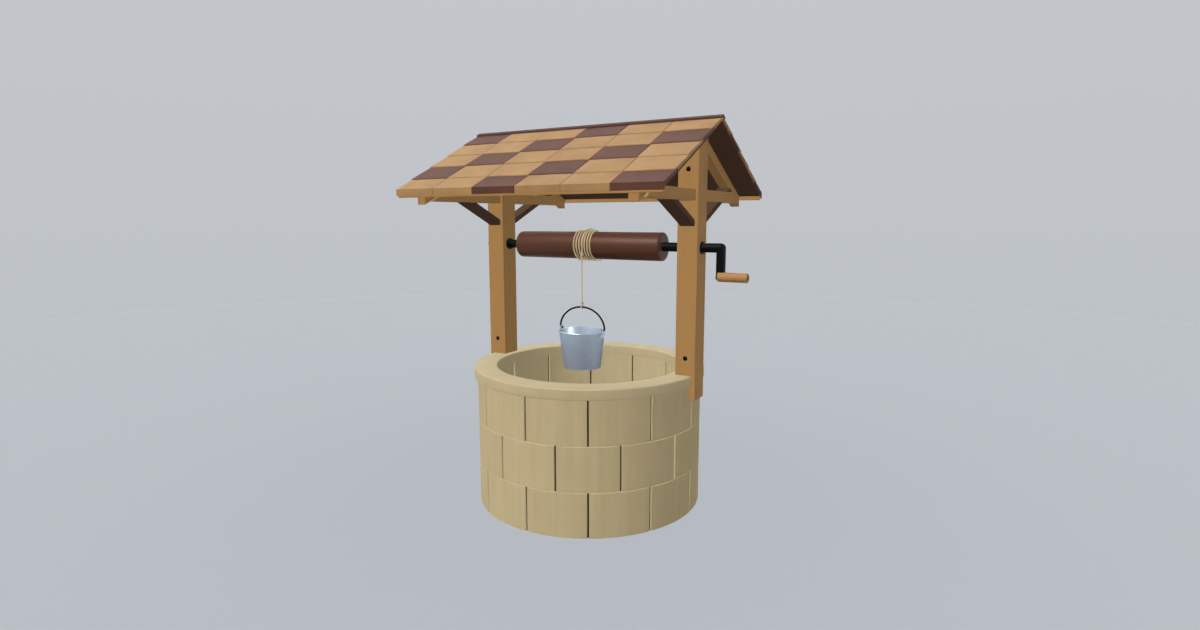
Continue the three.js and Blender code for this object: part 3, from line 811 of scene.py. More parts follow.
@dataclass(frozen=True)
class Stone:
    """Sawn sandstone: a matt, sandy face with faint upright saw marks and small pits.

    Attributes:
        name: The material's name.
        colour: The middle of its colour.
        deep: The colour of its darker grains.
        drag_mm: Spacing of the saw marks round the ring.
        grit_mm: Size of the grains, drawn coarser than real so that they show.
        stain_mm: Size of the broad, soft stains, nine of them to the metre.
        bump_mm: Depth of the surface.
        cloud: Strength of the stains.
        rough: Roughness of the surface.
        gloss: Its specular level.
    """

    name: str
    colour: str
    deep: str
    drag_mm: float = 26
    grit_mm: float = 3.2
    stain_mm: float = 1000 / 9
    bump_mm: float = 0.35
    cloud: float = 0.15
    rough: float = 0.86
    gloss: float = 0.15

    def material(self, centre: Vector) -> bpy.types.Material:
        """Builds the material.

        Args:
            centre: A point of the ring's axis.

        Returns:
            The material.
        """
        tree, surface = shader(self.name, Roughness=self.rough, Specular_IOR_Level=self.gloss)
        spot = add(tree, "ShaderNodeTexCoord").outputs["Object"]
        moved = add(tree, "ShaderNodeMapping", {"Vector": spot, "Location": tuple(-centre)})
        axes = add(tree, "ShaderNodeSeparateXYZ", {0: moved.outputs[0]})
        angle = add(
            tree, "ShaderNodeMath", {0: axes.outputs[1], 1: axes.outputs[0]}, operation="ARCTAN2"
        )
        # The marks lie round the ring at half a metre's radius and hardly change with height.
        around = 0.5 / (self.drag_mm * MM)
        arc = add(tree, "ShaderNodeMath", {0: angle.outputs[0], 1: around}, operation="MULTIPLY")
        high = add(tree, "ShaderNodeMath", {0: axes.outputs[2], 1: 1 / 0.625}, operation="MULTIPLY")
        tone = add(tree, "ShaderNodeAttribute", attribute_name="tone").outputs["Fac"]
        # Each block has marks of its own, far from its neighbour's in the pattern.
        shift = add(tree, "ShaderNodeMath", {0: tone, 1: 37.0}, operation="MULTIPLY")
        wrapped = add(
            tree,
            "ShaderNodeCombineXYZ",
            {0: arc.outputs[0], 1: high.outputs[0], 2: shift.outputs[0]},
        )
        drag = add(
            tree,
            "ShaderNodeTexNoise",
            {"Vector": wrapped.outputs[0], "Scale": 1.0, "Detail": 5.0, "Roughness": 0.62},
        )
        grit = add(
            tree,
            "ShaderNodeTexNoise",
            {"Vector": spot, "Scale": 1 / (self.grit_mm * MM), "Detail": 4.0, "Roughness": 0.7},
        )
        cloud = add(
            tree, "ShaderNodeTexNoise", {"Vector": spot, "Scale": 1 / (self.stain_mm * MM), "Detail": 3.0}
        )
        # A pit is left where a lump fell out, about once in five grains.
        pits = add(
            tree,
            "ShaderNodeTexVoronoi",
            {"Vector": spot, "Scale": 1 / (5 * self.grit_mm * MM), "Randomness": 1.0},
        )
        hole = add(
            tree,
            "ShaderNodeMapRange",
            {"Value": pits.outputs["Distance"], "From Min": 0.05, "From Max": 0.16},
        )
        soft = add(
            tree, "ShaderNodeMath", {0: cloud.outputs["Fac"], 1: self.cloud}, operation="MULTIPLY"
        )
        mixed = add(
            tree,
            "ShaderNodeMath",
            {0: drag.outputs["Fac"], 1: 0.5, 2: soft.outputs[0]},
            operation="MULTIPLY_ADD",
        )
        speckled = add(
            tree,
            "ShaderNodeMath",
            {0: grit.outputs["Fac"], 1: 0.5, 2: mixed.outputs[0]},
            operation="MULTIPLY_ADD",
        )
        toned = add(
            tree, "ShaderNodeMath", {0: tone, 1: 0.12, 2: speckled.outputs[0]}, operation="MULTIPLY_ADD"
        )
        # The noises lie round 0.5, so the middle of their sum goes up by half the stains' share.
        lift = self.cloud / 2
        ramp = add(
            tree,
            "ShaderNodeMapRange",
            {"Value": toned.outputs[0], "From Min": 0.34 + lift, "From Max": 0.78 + lift},
        )
        colour = add(
            tree,
            "ShaderNodeMix",
            {0: ramp.outputs[0], 6: linear(self.deep), 7: linear(self.colour)},
            data_type="RGBA",
        )
        pitted = add(
            tree,
            "ShaderNodeMix",
            {0: hole.outputs[0], 6: linear(self.deep), 7: colour.outputs[2]},
            data_type="RGBA",
        )
        height = add(
            tree,
            "ShaderNodeMath",
            {0: hole.outputs[0], 1: 0.8, 2: grit.outputs["Fac"]},
            operation="MULTIPLY_ADD",
        )
        bump = add(
            tree,
            "ShaderNodeBump",
            {"Height": height.outputs[0], "Strength": 0.55, "Distance": self.bump_mm * MM},
        )
        tree.links.new(pitted.outputs[2], surface.inputs["Base Color"])
        tree.links.new(bump.outputs[0], surface.inputs["Normal"])
        return bpy.data.materials[self.name]


@dataclass(frozen=True)
class Timber:
    """Planed and finished timber: even growth rings, fine fibres and a soft sheen.

    Attributes:
        name: The material's name.
        early: Colour of the wide spring wood.
        late: Colour of the thin summer wood.
        ring_mm: Width of a growth ring.
        fibre_mm: Spacing of the fine fibres, drawn coarser than real so that they show.
        contrast: How strongly the rings show.
        rough: Roughness of the finish.
        gloss: Specular level of the finish.
        tint: Colour of its gloss.
    """

    name: str
    early: str
    late: str
    ring_mm: float = 7.0
    fibre_mm: float = 1.6
    contrast: float = 0.35
    rough: float = 0.62
    gloss: float = 0.22
    tint: str = "ffffff"

    def material(self) -> bpy.types.Material:
        """Builds the material.

        Returns:
            The material.
        """
        tree, surface = shader(
            self.name, Specular_IOR_Level=self.gloss, Specular_Tint=linear(self.tint)
        )
        spot = add(tree, "ShaderNodeAttribute", attribute_name="grain").outputs["Vector"]
        tone = add(tree, "ShaderNodeAttribute", attribute_name="tone").outputs["Fac"]
        shift = add(tree, "ShaderNodeCombineXYZ", {0: tone})
        far = add(
            tree, "ShaderNodeVectorMath", {0: shift.outputs[0], "Scale": 9.0}, operation="SCALE"
        )
        own = add(
            tree, "ShaderNodeVectorMath", {0: spot, 1: far.outputs[0]}, operation="ADD"
        ).outputs[0]
        # The rings wander by some centimetres, over 0.9 m of length and 0.2 m of width.
        bend = add(tree, "ShaderNodeMapping", {"Vector": own, "Scale": (1.1, 5.0, 5.0)})
        sway = add(
            tree, "ShaderNodeTexNoise", {"Vector": bend.outputs[0], "Scale": 1.0, "Detail": 2.0}
        )
        swayed = add(
            tree,
            "ShaderNodeVectorMath",
            {0: sway.outputs["Color"], 1: (0.0, 0.055, 0.055), 2: own},
            operation="MULTIPLY_ADD",
        )
        waves = 20  # radians of a Wave texture for each unit of its scale
        rings = add(
            tree,
            "ShaderNodeTexWave",
            {
                "Vector": swayed.outputs[0],
                "Scale": math.tau / (waves * self.ring_mm * MM),
                "Distortion": 0.6,
                "Detail": 2.0,
                "Detail Scale": 2.0,
            },
            wave_type="RINGS",
            rings_direction="X",
            wave_profile="SAW",
        )
        # A fibre is fifty times as long as it is wide.
        fine = 1 / (self.fibre_mm * MM)
        drawn = add(tree, "ShaderNodeMapping", {"Vector": own, "Scale": (fine / 50, fine, fine)})
        fibres = add(
            tree,
            "ShaderNodeTexNoise",
            {"Vector": drawn.outputs[0], "Scale": 1.0, "Detail": 3.0, "Roughness": 0.6},
        )
        # The finish soaked in unevenly, in streaks 0.8 m long and 60 mm wide.
        broad = add(tree, "ShaderNodeMapping", {"Vector": own, "Scale": (1.3, 16.0, 16.0)})
        cloud = add(
            tree, "ShaderNodeTexNoise", {"Vector": broad.outputs[0], "Scale": 1.0, "Detail": 2.0}
        )
        ringed = add(
            tree, "ShaderNodeMath", {0: rings.outputs["Fac"], 1: self.contrast}, operation="MULTIPLY"
        )
        fibred = add(
            tree,
            "ShaderNodeMath",
            {0: fibres.outputs["Fac"], 1: 0.5, 2: ringed.outputs[0]},
            operation="MULTIPLY_ADD",
        )
        clouded = add(
            tree,
            "ShaderNodeMath",
            {0: cloud.outputs["Fac"], 1: 0.4, 2: fibred.outputs[0]},
            operation="MULTIPLY_ADD",
        )
        toned = add(
            tree, "ShaderNodeMath", {0: tone, 1: 0.14, 2: clouded.outputs[0]}, operation="MULTIPLY_ADD"
        )
        share = add(
            tree,
            "ShaderNodeMapRange",
            {"Value": toned.outputs[0], "From Min": 0.3, "From Max": 0.82 + self.contrast},
        )
        colour = add(
            tree,
            "ShaderNodeMix",
            {0: share.outputs[0], 6: linear(self.early), 7: linear(self.late)},
            data_type="RGBA",
        )
        rough = add(
            tree,
            "ShaderNodeMapRange",
            {"Value": fibres.outputs["Fac"], "To Min": self.rough - 0.07, "To Max": self.rough + 0.09},
        )
        height = add(
            tree,
            "ShaderNodeMath",
            {0: rings.outputs["Fac"], 1: 0.35, 2: fibres.outputs["Fac"]},
            operation="MULTIPLY_ADD",
        )
        bump = add(
            tree,
            "ShaderNodeBump",
            {"Height": height.outputs[0], "Strength": 0.35, "Distance": 0.25 * MM},
        )
        tree.links.new(colour.outputs[2], surface.inputs["Base Color"])
        tree.links.new(rough.outputs[0], surface.inputs["Roughness"])
        tree.links.new(bump.outputs[0], surface.inputs["Normal"])
        return bpy.data.materials[self.name]


@dataclass(frozen=True)
class Clay:
    """Extruded and fired clay: dry and half matt, with faint lines down the slope.

    Attributes:
        name: The material's name.
        pale: Colour where the kiln was coolest.
        burnt: Colour where it was hottest.
        drag_mm: Spacing of the extruder's lines, drawn coarser than real so that they show.
        grit_mm: Size of the sand grains, drawn coarser too.
        cloud_mm: Size of the kiln's clouding.
        rough: Roughness of the fired skin.
        gloss: Its specular level.
    """

    name: str
    pale: str
    burnt: str
    drag_mm: float = 2.4
    grit_mm: float = 1.8
    cloud_mm: float = 90
    rough: float = 0.62
    gloss: float = 0.42

    def material(self) -> bpy.types.Material:
        """Builds the material.

        Returns:
            The material.
        """
        tree, surface = shader(self.name, Specular_IOR_Level=self.gloss)
        spot = add(tree, "ShaderNodeAttribute", attribute_name="grain").outputs["Vector"]
        tone = add(tree, "ShaderNodeAttribute", attribute_name="tone").outputs["Fac"]
        shift = add(tree, "ShaderNodeCombineXYZ", {0: tone, 1: tone})
        own = add(
            tree,
            "ShaderNodeVectorMath",
            {0: shift.outputs[0], 1: (9.0, 9.0, 9.0), 2: spot},
            operation="MULTIPLY_ADD",
        ).outputs[0]
        # A line of the extruder's mouth runs far down the tile.
        fine = 1 / (self.drag_mm * MM)
        drawn = add(tree, "ShaderNodeMapping", {"Vector": own, "Scale": (fine * 0.03, fine, fine)})
        drag = add(tree, "ShaderNodeTexNoise", {"Vector": drawn.outputs[0], "Scale": 1.0, "Detail": 3.0})
        grit = add(
            tree,
            "ShaderNodeTexNoise",
            {"Vector": own, "Scale": 1 / (self.grit_mm * MM), "Detail": 3.0, "Roughness": 0.7},
        )
        kiln = add(
            tree, "ShaderNodeTexNoise", {"Vector": own, "Scale": 1 / (self.cloud_mm * MM), "Detail": 2.0}
        )
        toned = add(
            tree, "ShaderNodeMath", {0: tone, 1: 0.16, 2: kiln.outputs["Fac"]}, operation="MULTIPLY_ADD"
        )
        dragged = add(
            tree,
            "ShaderNodeMath",
            {0: drag.outputs["Fac"], 1: 0.5, 2: toned.outputs[0]},
            operation="MULTIPLY_ADD",
        )
        speckled = add(
            tree,
            "ShaderNodeMath",
            {0: grit.outputs["Fac"], 1: 0.3, 2: dragged.outputs[0]},
            operation="MULTIPLY_ADD",
        )
        share = add(
            tree,
            "ShaderNodeMapRange",
            {"Value": speckled.outputs[0], "From Min": 0.68, "From Max": 1.28},
        )
        colour = add(
            tree,
            "ShaderNodeMix",
            {0: share.outputs[0], 6: linear(self.pale), 7: linear(self.burnt)},
            data_type="RGBA",
        )
        rough = add(
            tree,
            "ShaderNodeMapRange",
            {"Value": grit.outputs["Fac"], "To Min": self.rough - 0.07, "To Max": self.rough + 0.09},
        )
        height = add(
            tree,
            "ShaderNodeMath",
            {0: drag.outputs["Fac"], 1: 0.6, 2: grit.outputs["Fac"]},
            operation="MULTIPLY_ADD",
        )
        bump = add(
            tree,
            "ShaderNodeBump",
            {"Height": height.outputs[0], "Strength": 0.35, "Distance": 0.2 * MM},
        )
        tree.links.new(colour.outputs[2], surface.inputs["Base Color"])
        tree.links.new(rough.outputs[0], surface.inputs["Roughness"])
        tree.links.new(bump.outputs[0], surface.inputs["Normal"])
        return bpy.data.materials[self.name]


@dataclass(frozen=True)
class PowderCoat:
    """Powder-coated steel: near black, half gloss, with a fine orange peel.

    Attributes:
        name: The material's name.
        colour: The paint's colour.
        dusty: Its colour where fine dust dulls it.
        peel_mm: Spacing of the orange peel, drawn coarser than real so that it shows.
        dust_mm: Size of the dusty patches.
    """

    name: str
    colour: str
    dusty: str
    peel_mm: float = 2.2
    dust_mm: float = 25

    def material(self) -> bpy.types.Material:
        """Builds the material.

        Returns:
            The material.
        """
        tree, surface = shader(self.name, Specular_IOR_Level=0.1)
        spot = add(tree, "ShaderNodeTexCoord").outputs["Object"]
        peel = add(
            tree,
            "ShaderNodeTexNoise",
            {"Vector": spot, "Scale": 1 / (self.peel_mm * MM), "Detail": 2.0},
        )
        dust = add(
            tree, "ShaderNodeTexNoise", {"Vector": spot, "Scale": 1 / (self.dust_mm * MM), "Detail": 5.0}
        )
        rough = add(
            tree,
            "ShaderNodeMapRange",
            {"Value": dust.outputs["Fac"], "To Min": 0.36, "To Max": 0.52},
        )
        worn = add(
            tree,
            "ShaderNodeMix",
            {0: dust.outputs["Fac"], 6: linear(self.colour), 7: linear(self.dusty)},
            data_type="RGBA",
        )
        bump = add(
            tree,
            "ShaderNodeBump",
            {"Height": peel.outputs["Fac"], "Strength": 0.25, "Distance": 0.08 * MM},
        )
        tree.links.new(worn.outputs[2], surface.inputs["Base Color"])
        tree.links.new(rough.outputs[0], surface.inputs["Roughness"])
        tree.links.new(bump.outputs[0], surface.inputs["Normal"])
        return bpy.data.materials[self.name]


@dataclass(frozen=True)
class Galvanised:
    """Hot-dip galvanised sheet: blue-grey zinc with faint spangles and a satin surface.

    Attributes:
        name: The material's name.
        colour: The zinc's colour.
        pale: The colour of its brighter crystals.
        spangle_mm: Size of a crystal.
        ragged_mm: How far the crystals' borders are pushed out of line.
        bend_mm: Distance from one bend of a border to the next, with 60 to the metre.
        film_mm: Size of the patches where weather has dulled the zinc, 14 to the metre.
    """

    name: str
    colour: str
    pale: str
    spangle_mm: float = 9.0
    ragged_mm: float = 8.0
    bend_mm: float = 1000 / 60
    film_mm: float = 1000 / 14

    def material(self) -> bpy.types.Material:
        """Builds the material.

        Returns:
            The material.
        """
        tree, surface = shader(self.name, Metallic=0.7)
        spot = add(tree, "ShaderNodeTexCoord").outputs["Object"]
        stir = add(
            tree, "ShaderNodeTexNoise", {"Vector": spot, "Scale": 1 / (self.bend_mm * MM), "Detail": 2.0}
        )
        stirred = add(
            tree,
            "ShaderNodeVectorMath",
            {0: stir.outputs["Color"], 1: (self.ragged_mm * MM,) * 3, 2: spot},
            operation="MULTIPLY_ADD",
        )
        crystals = add(
            tree,
            "ShaderNodeTexVoronoi",
            {"Vector": stirred.outputs[0], "Scale": 1 / (self.spangle_mm * MM)},
        )
        shade = add(tree, "ShaderNodeSeparateColor", {0: crystals.outputs["Color"]})
        film = add(
            tree, "ShaderNodeTexNoise", {"Vector": spot, "Scale": 1 / (self.film_mm * MM), "Detail": 4.0}
        )
        share = add(
            tree,
            "ShaderNodeMath",
            {0: shade.outputs[0], 1: 0.55, 2: film.outputs["Fac"]},
            operation="MULTIPLY_ADD",
        )
        ramp = add(
            tree,
            "ShaderNodeMapRange",
            {"Value": share.outputs[0], "From Min": 0.3, "From Max": 1.25},
        )
        colour = add(
            tree,
            "ShaderNodeMix",
            {0: ramp.outputs[0], 6: linear(self.colour), 7: linear(self.pale)},
            data_type="RGBA",
        )
        rough = add(
            tree,
            "ShaderNodeMapRange",
            {"Value": shade.outputs[1], "To Min": 0.36, "To Max": 0.48},
        )
        tree.links.new(colour.outputs[2], surface.inputs["Base Color"])
        tree.links.new(rough.outputs[0], surface.inputs["Roughness"])
        return bpy.data.materials[self.name]


@dataclass(frozen=True)
class Hemp:
    """Laid hemp rope: pale straw strands with painted shade where they meet, and loose fibres.

    Attributes:
        name: The material's name.
        pale: Colour of the strands' tops.
        dark: Colour of the painted shade in the grooves.
        yarn_mm: Spacing of the yarns, drawn coarser than real so that they show.
    """

    name: str
    pale: str
    dark: str
    yarn_mm: float = 0.9

    def material(self) -> bpy.types.Material:
        """Builds the material.

        Returns:
            The material.
        """
        tree, surface = shader(
            self.name, Roughness=0.9, Specular_IOR_Level=0.2, Sheen_Weight=0.25, Sheen_Roughness=0.5
        )
        strand = add(tree, "ShaderNodeAttribute", attribute_name="strand").outputs["Fac"]
        run = add(tree, "ShaderNodeAttribute", attribute_name="run").outputs["Fac"]
        part = add(tree, "ShaderNodeMath", {0: strand}, operation="FRACT")
        side = add(tree, "ShaderNodeMath", {0: part.outputs[0], 1: 0.5}, operation="SUBTRACT")
        away = add(tree, "ShaderNodeMath", {0: side.outputs[0]}, operation="ABSOLUTE")
        # The grooves between the strands are darkened as painted shade.
        groove_shade = add(
            tree,
            "ShaderNodeMapRange",
            {"Value": away.outputs[0], "From Min": 0.38, "From Max": 0.56},
        )
        # Yarns run slantwise over each strand, against the rope's own lay: 14 of them cross it.
        long = add(tree, "ShaderNodeMath", {0: run, 1: 1 / (self.yarn_mm * MM)}, operation="MULTIPLY")
        slant = add(
            tree, "ShaderNodeMath", {0: strand, 1: 14.0, 2: long.outputs[0]}, operation="MULTIPLY_ADD"
        )
        coil = add(tree, "ShaderNodeCombineXYZ", {0: slant.outputs[0], 1: strand})
        yarns = add(
            tree, "ShaderNodeTexNoise", {"Vector": coil.outputs[0], "Scale": 0.9, "Detail": 3.0}
        )
        mixed = add(
            tree,
            "ShaderNodeMath",
            {0: yarns.outputs["Fac"], 1: 0.6, 2: groove_shade.outputs[0]},
            operation="MULTIPLY_ADD",
            use_clamp=True,
        )
        colour = add(
            tree,
            "ShaderNodeMix",
            {0: mixed.outputs[0], 6: linear(self.pale), 7: linear(self.dark)},
            data_type="RGBA",
        )
        bump = add(
            tree,
            "ShaderNodeBump",
            {"Height": yarns.outputs["Fac"], "Strength": 0.5, "Distance": 0.3 * MM},
        )
        tree.links.new(colour.outputs[2], surface.inputs["Base Color"])
        tree.links.new(bump.outputs[0], surface.inputs["Normal"])
        return bpy.data.materials[self.name]


class Finish(Enum):
    """The finishes of the well, by the surface of the real thing."""

    # Blocks of sandstone, sawn and left so: matt and sandy, with faint upright marks.
    BLOCK = Stone("sandstone_sawn", "bfae87", "ae9d78")
    # The same stone rubbed smooth on top: even in colour, and it takes a little of the sky.
    COPING = Stone("sandstone_rubbed", "bfae89", "b0a07b", drag_mm=60, rough=0.6, gloss=0.4)
    # Lime mortar raked out of the joints, near black and rough. The near black is painted shade of the
    # deep joints, which the shadowless lamps light fully.
    MORTAR_PAINTED_SHADE = Stone("lime_mortar_painted_joint_shade", "1f201e", "141513", grit_mm=2.0, bump_mm=0.8)
    # Planed cedar with an oil stain: warm tan, with soft rings and hardly any gloss.
    POST = Timber("cedar_oil_stained", "aa824e", "966e40")
    # Extruded clay fired pale: dry, even tan that lights up where it faces the sky.
    TAN_TILE = Clay("clay_tile_fired_tan", "a68455", "936e45")
    # The same clay fired dark: red brown, greyer where it faces the sky.
    DARK_TILE = Clay("clay_tile_fired_brown", "57311d", "452417")
    # Planed pine with a red walnut stain: dark, with a faint gloss along the ridge.
    CAP = Timber("pine_red_walnut_stain", "4d2a1a", "3b1f15", ring_mm=9.0, gloss=0.3)
    # Sawn pine with a walnut stain: almost black brown and dull.
    DARK_WOOD = Timber("pine_walnut_stain", "574033", "422f26", rough=0.75, gloss=0.06)
    # Turned hardwood under a warm varnish: red brown, with one soft light line along it.
    DRUM = Timber(
        "turned_hardwood_varnished",
        "543021",
        "46281b",
        ring_mm=4.0,
        contrast=0.2,
        rough=0.46,
        gloss=0.46,
        tint="ffe0cc",
    )
    # Turned ash rubbed with oil: light, with close rings and a handled sheen.
    GRIP = Timber("turned_ash_oiled", "b18453", "996d45", ring_mm=3.0, rough=0.5)
    # Bent and welded steel, powder coated: near black, with a broad weak gloss.
    BLACK = PowderCoat("steel_powder_coated_black", "030304", "0a0b0d")
    # Sheet dipped in zinc: blue grey, satin, with crystals a shade apart.
    ZINC = Galvanised("sheet_hot_dip_galvanised", "c6d4e7", "d4e2f3")
    # Hemp laid in three strands: pale straw, with painted shade in the grooves, and dry.
    ROPE = Hemp("hemp_rope_laid", "dcc79c", "9a8456")


CAD_MIDDLE = (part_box("wall_course_1")[0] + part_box("wall_course_1")[1]) / 2
AXIS = Vector((CAD_MIDDLE.x, 0.0, 0.0))
made_finishes: dict[Finish, bpy.types.Material] = {}


def paint(finish: Finish) -> bpy.types.Material:
    """Gives the material of a finish, and builds it when it is first asked for.

    Args:
        finish: The finish.

    Returns:
        Its material.
    """
    if finish not in made_finishes:
        kind = finish.value
        made_finishes[finish] = kind.material(AXIS) if isinstance(kind, Stone) else kind.material()
    return made_finishes[finish]


def hand_over(
    piece: bpy.types.Object, body: str, slot: str, finish: Finish | None, *nodes: str
) -> bpy.types.Object:
    """Gives a finished piece its material and its body.

    Args:
        piece: The mesh object.
        body: The CAD body that it rides on.
        slot: The record's material slot; not used.
        finish: Its finish, or None where the mesh has its materials.
        *nodes: The CAD nodes that it stands for.

    Returns:
        The same object.
    """
    if finish is not None:
        piece.data.materials.clear()
        piece.data.materials.append(paint(finish))
    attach(piece, body)
    if nodes:
        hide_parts(*nodes)
    log.info("%s: %d faces, on %s", piece.name, len(piece.data.polygons), body)
    return piece


# The studio


class Seen(Enum):
    """What a lamp does to a surface."""

    BOTH = "lights it and shows in its gloss"
    BY_COLOUR = "lights it and shows in no gloss"
    BY_GLOSS = "shows in its gloss alone"


@dataclass
class Studio:
    """Camera, floor, background and soft lamps.

    The photograph shows no cast shadow, and no light that goes from one surface to the next: the
    inside of the wall is as light as the outside. So the lamps give neither.

    Attributes:
        eye: The camera's place.
        ahead: The direction that it looks in.
        above: The picture's upward direction.
        focal_px: Focal length in pixels of the photograph.
        heart: Height of the point that the lamps aim at.
        floor_radius: Radius of the floor.
        floor_steps: Corners of its edge.
        sunk: How far it lies under the stone.
        lit: How much paler than its written colour the lamps make the floor.
        overhead: Light level of the plain soft light from straight above, which is 0 from below.
    """

    eye: Vector = field(default_factory=lambda: Vector((1.4856, -2.5910, 1.2483)))
    ahead: Vector = field(default_factory=lambda: Vector((-0.49344, 0.85844, -0.14000)))
    above: Vector = field(default_factory=lambda: Vector((-0.0698, 0.1214, 0.9902)))
    focal_px: float = 675.53
    heart: float = 0.9
    floor_radius: float = 9.0
    floor_steps: int = 96
    sunk: float = 0.0006
    lit: float = 1.16
    overhead: Colour = (0.10, 0.10, 0.103, 1.0)

    def camera(self) -> None:
        """Sets the camera where the photograph was taken from."""
        data = bpy.data.cameras.new("view")
        data.sensor_fit = "HORIZONTAL"
        data.sensor_width = SENSOR
        data.lens = SENSOR * self.focal_px / PHOTO_WIDTH
        data.clip_start, data.clip_end = 0.05, 100
        camera = bpy.data.objects.new("view", data)
        back = -self.ahead.normalized()
        right = self.above.cross(back).normalized()
        up = back.cross(right)
        turn = Matrix((right, up, back)).transposed().to_4x4()
        camera.matrix_world = Matrix.Translation(self.eye) @ turn
        bpy.context.scene.collection.objects.link(camera)
        bpy.context.scene.camera = camera

    def lamp(
        self, name: str, azimuth: float, rise: float, spread: float, level: float, seen: Seen = Seen.BOTH
    ) -> None:
        """Adds a soft lamp far away.

        Args:
            name: The lamp's name.
            azimuth: Degrees from -Y towards +X.
            rise: Degrees above the horizon.
            spread: Angle in degrees that the lamp fills.
            level: Share of a surface's written colour that it shows when it faces the lamp.
            seen: Whether it lights surfaces, shows in their gloss, or both.
        """
        data = bpy.data.lights.new(name, "SUN")
        data.angle, data.energy = math.radians(spread), level * math.pi
        data.use_shadow = False
        data.cycles.use_multiple_importance_sampling = False
        data.cycles.max_bounces = 0
        a, e = math.radians(azimuth), math.radians(rise)
        toward = Vector((math.sin(a) * math.cos(e), -math.cos(a) * math.cos(e), math.sin(e)))
        lamp = bpy.data.objects.new(name, data)
        lamp.location = AXIS + Vector((0, 0, self.heart)) + toward * 4
        lamp.rotation_euler = toward.to_track_quat("Z", "Y").to_euler()
        lamp.visible_glossy = seen is not Seen.BY_COLOUR
        lamp.visible_diffuse = seen is not Seen.BY_GLOSS
        bpy.context.scene.collection.objects.link(lamp)

    def background(self) -> None:
        """A pale gradient for the eye, gloss and glass, and plain soft light for the rest."""
        world = bpy.data.worlds.new("studio")
        bpy.context.scene.world = world
        world.use_nodes = True
        tree = world.node_tree
        tree.nodes.clear()
        ray = add(tree, "ShaderNodeTexCoord").outputs["Generated"]
        up = add(tree, "ShaderNodeSeparateXYZ", {0: ray}).outputs[2]
        place = add(tree, "ShaderNodeMapRange", {"Value": up, "From Min": -0.6, "From Max": 1.0})
        # Level with the camera it is as in the photograph, and overhead it is a white ceiling.
        sky = colour_ramp(
            tree,
            place.outputs[0],
            (
                (0.0, "b0b5bb"),
                (0.1875, "babfc5"),
                (0.375, "c0c4c9"),
                (0.625, "c4c7cc"),
                (0.75, "eceef1"),
                (0.875, "ffffff"),
            ),
        )
        shown = add(tree, "ShaderNodeBackground", {0: sky, 1: 1.0})
        share = add(tree, "ShaderNodeMapRange", {"Value": up, "From Min": -1.0, "From Max": 1.0})
        soft = add(
            tree,
            "ShaderNodeMix",
            {0: share.outputs[0], 6: linear("000000"), 7: self.overhead},
            data_type="RGBA",
        )
        light = add(tree, "ShaderNodeBackground", {0: soft.outputs[2], 1: 1.0})
        path = add(tree, "ShaderNodeLightPath")
        seen = add(
            tree,
            "ShaderNodeMath",
            {0: path.outputs["Is Camera Ray"], 1: path.outputs["Is Glossy Ray"]},
            operation="MAXIMUM",
        )
        clear = add(
            tree,
            "ShaderNodeMath",
            {0: seen.outputs[0], 1: path.outputs["Is Transmission Ray"]},
            operation="MAXIMUM",
        )
        both = add(
            tree, "ShaderNodeMixShader", {0: clear.outputs[0], 1: light.outputs[0], 2: shown.outputs[0]}
        )
        add(tree, "ShaderNodeOutputWorld", {0: both.outputs[0]})

    def floor(self) -> None:
        """A round plain floor, a little paler far off, where it meets the background."""
        corners = [math.tau * k / self.floor_steps for k in range(self.floor_steps)]
        reach, low = self.floor_radius, -self.sunk
        ring = [AXIS + Vector((reach * math.cos(a), reach * math.sin(a), low)) for a in corners]
        floor = new_piece("floor", ring, [tuple(range(self.floor_steps))])
        material = bpy.data.materials.new("studio_floor")
        material.use_nodes = True
        tree = material.node_tree
        tree.nodes.clear()
        spot = add(tree, "ShaderNodeTexCoord").outputs["Object"]
        moved = add(tree, "ShaderNodeMapping", {"Vector": spot, "Location": tuple(-AXIS)})
        far = add(tree, "ShaderNodeVectorMath", {0: moved.outputs[0]}, operation="LENGTH")
        share = add(tree, "ShaderNodeMath", {0: far.outputs["Value"], 1: reach}, operation="DIVIDE")
        pale = colour_ramp(
            tree,
            share.outputs[0],
            ((0.11, "aaafb5"), (0.24, "adb2b7"), (0.44, "afb4b9"), (1.0, "b1b5ba")),
        )
        path = add(tree, "ShaderNodeLightPath")
        colour = add(
            tree,
            "ShaderNodeMix",
            {0: path.outputs["Is Camera Ray"], 6: linear("3a3b3d"), 7: pale},
            data_type="RGBA",
        )
        plain = add(tree, "ShaderNodeBsdfDiffuse", {0: colour.outputs[2]})
        # Metal sees nothing that the lamps light, so it gets the floor's colour as it looks.
        mirrored = add(tree, "ShaderNodeEmission", {0: pale, 1: self.lit})
        clear = add(
            tree,
            "ShaderNodeMath",
            {0: path.outputs["Is Glossy Ray"], 1: path.outputs["Is Transmission Ray"]},
            operation="MAXIMUM",
        )
        both = add(
            tree, "ShaderNodeMixShader", {0: clear.outputs[0], 1: plain.outputs[0], 2: mirrored.outputs[0]}
        )
        add(tree, "ShaderNodeOutputMaterial", {0: both.outputs[0]})
        floor.data.materials.append(material)
        floor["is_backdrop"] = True

    def build(self) -> None:
        """Sets the whole studio."""
        self.background()
        self.floor()
        # The main light comes over the camera's left shoulder.
        self.lamp("key", -20, 45, 20, 0.74)
        self.lamp("left", -95, 15, 50, 0.03, Seen.BY_COLOUR)
        self.lamp("right", 95, 10, 50, 0.02, Seen.BY_COLOUR)
        # Three more show in gloss alone: a line in the metal, a pale edge and the roof's sheen.
        self.lamp("strip", 92, 6, 8, 0.22, Seen.BY_GLOSS)
        self.lamp("edge", 128, -4, 55, 0.055, Seen.BY_GLOSS)
        self.lamp("sheen", -140, 32, 60, 0.14, Seen.BY_GLOSS)
        # The sky and the ground give soft light.
        self.lamp("above", 0, 90, 179, 0.56, Seen.BY_COLOUR)
        self.lamp("below", 0, -90, 179, 0.37, Seen.BY_COLOUR)


# The well


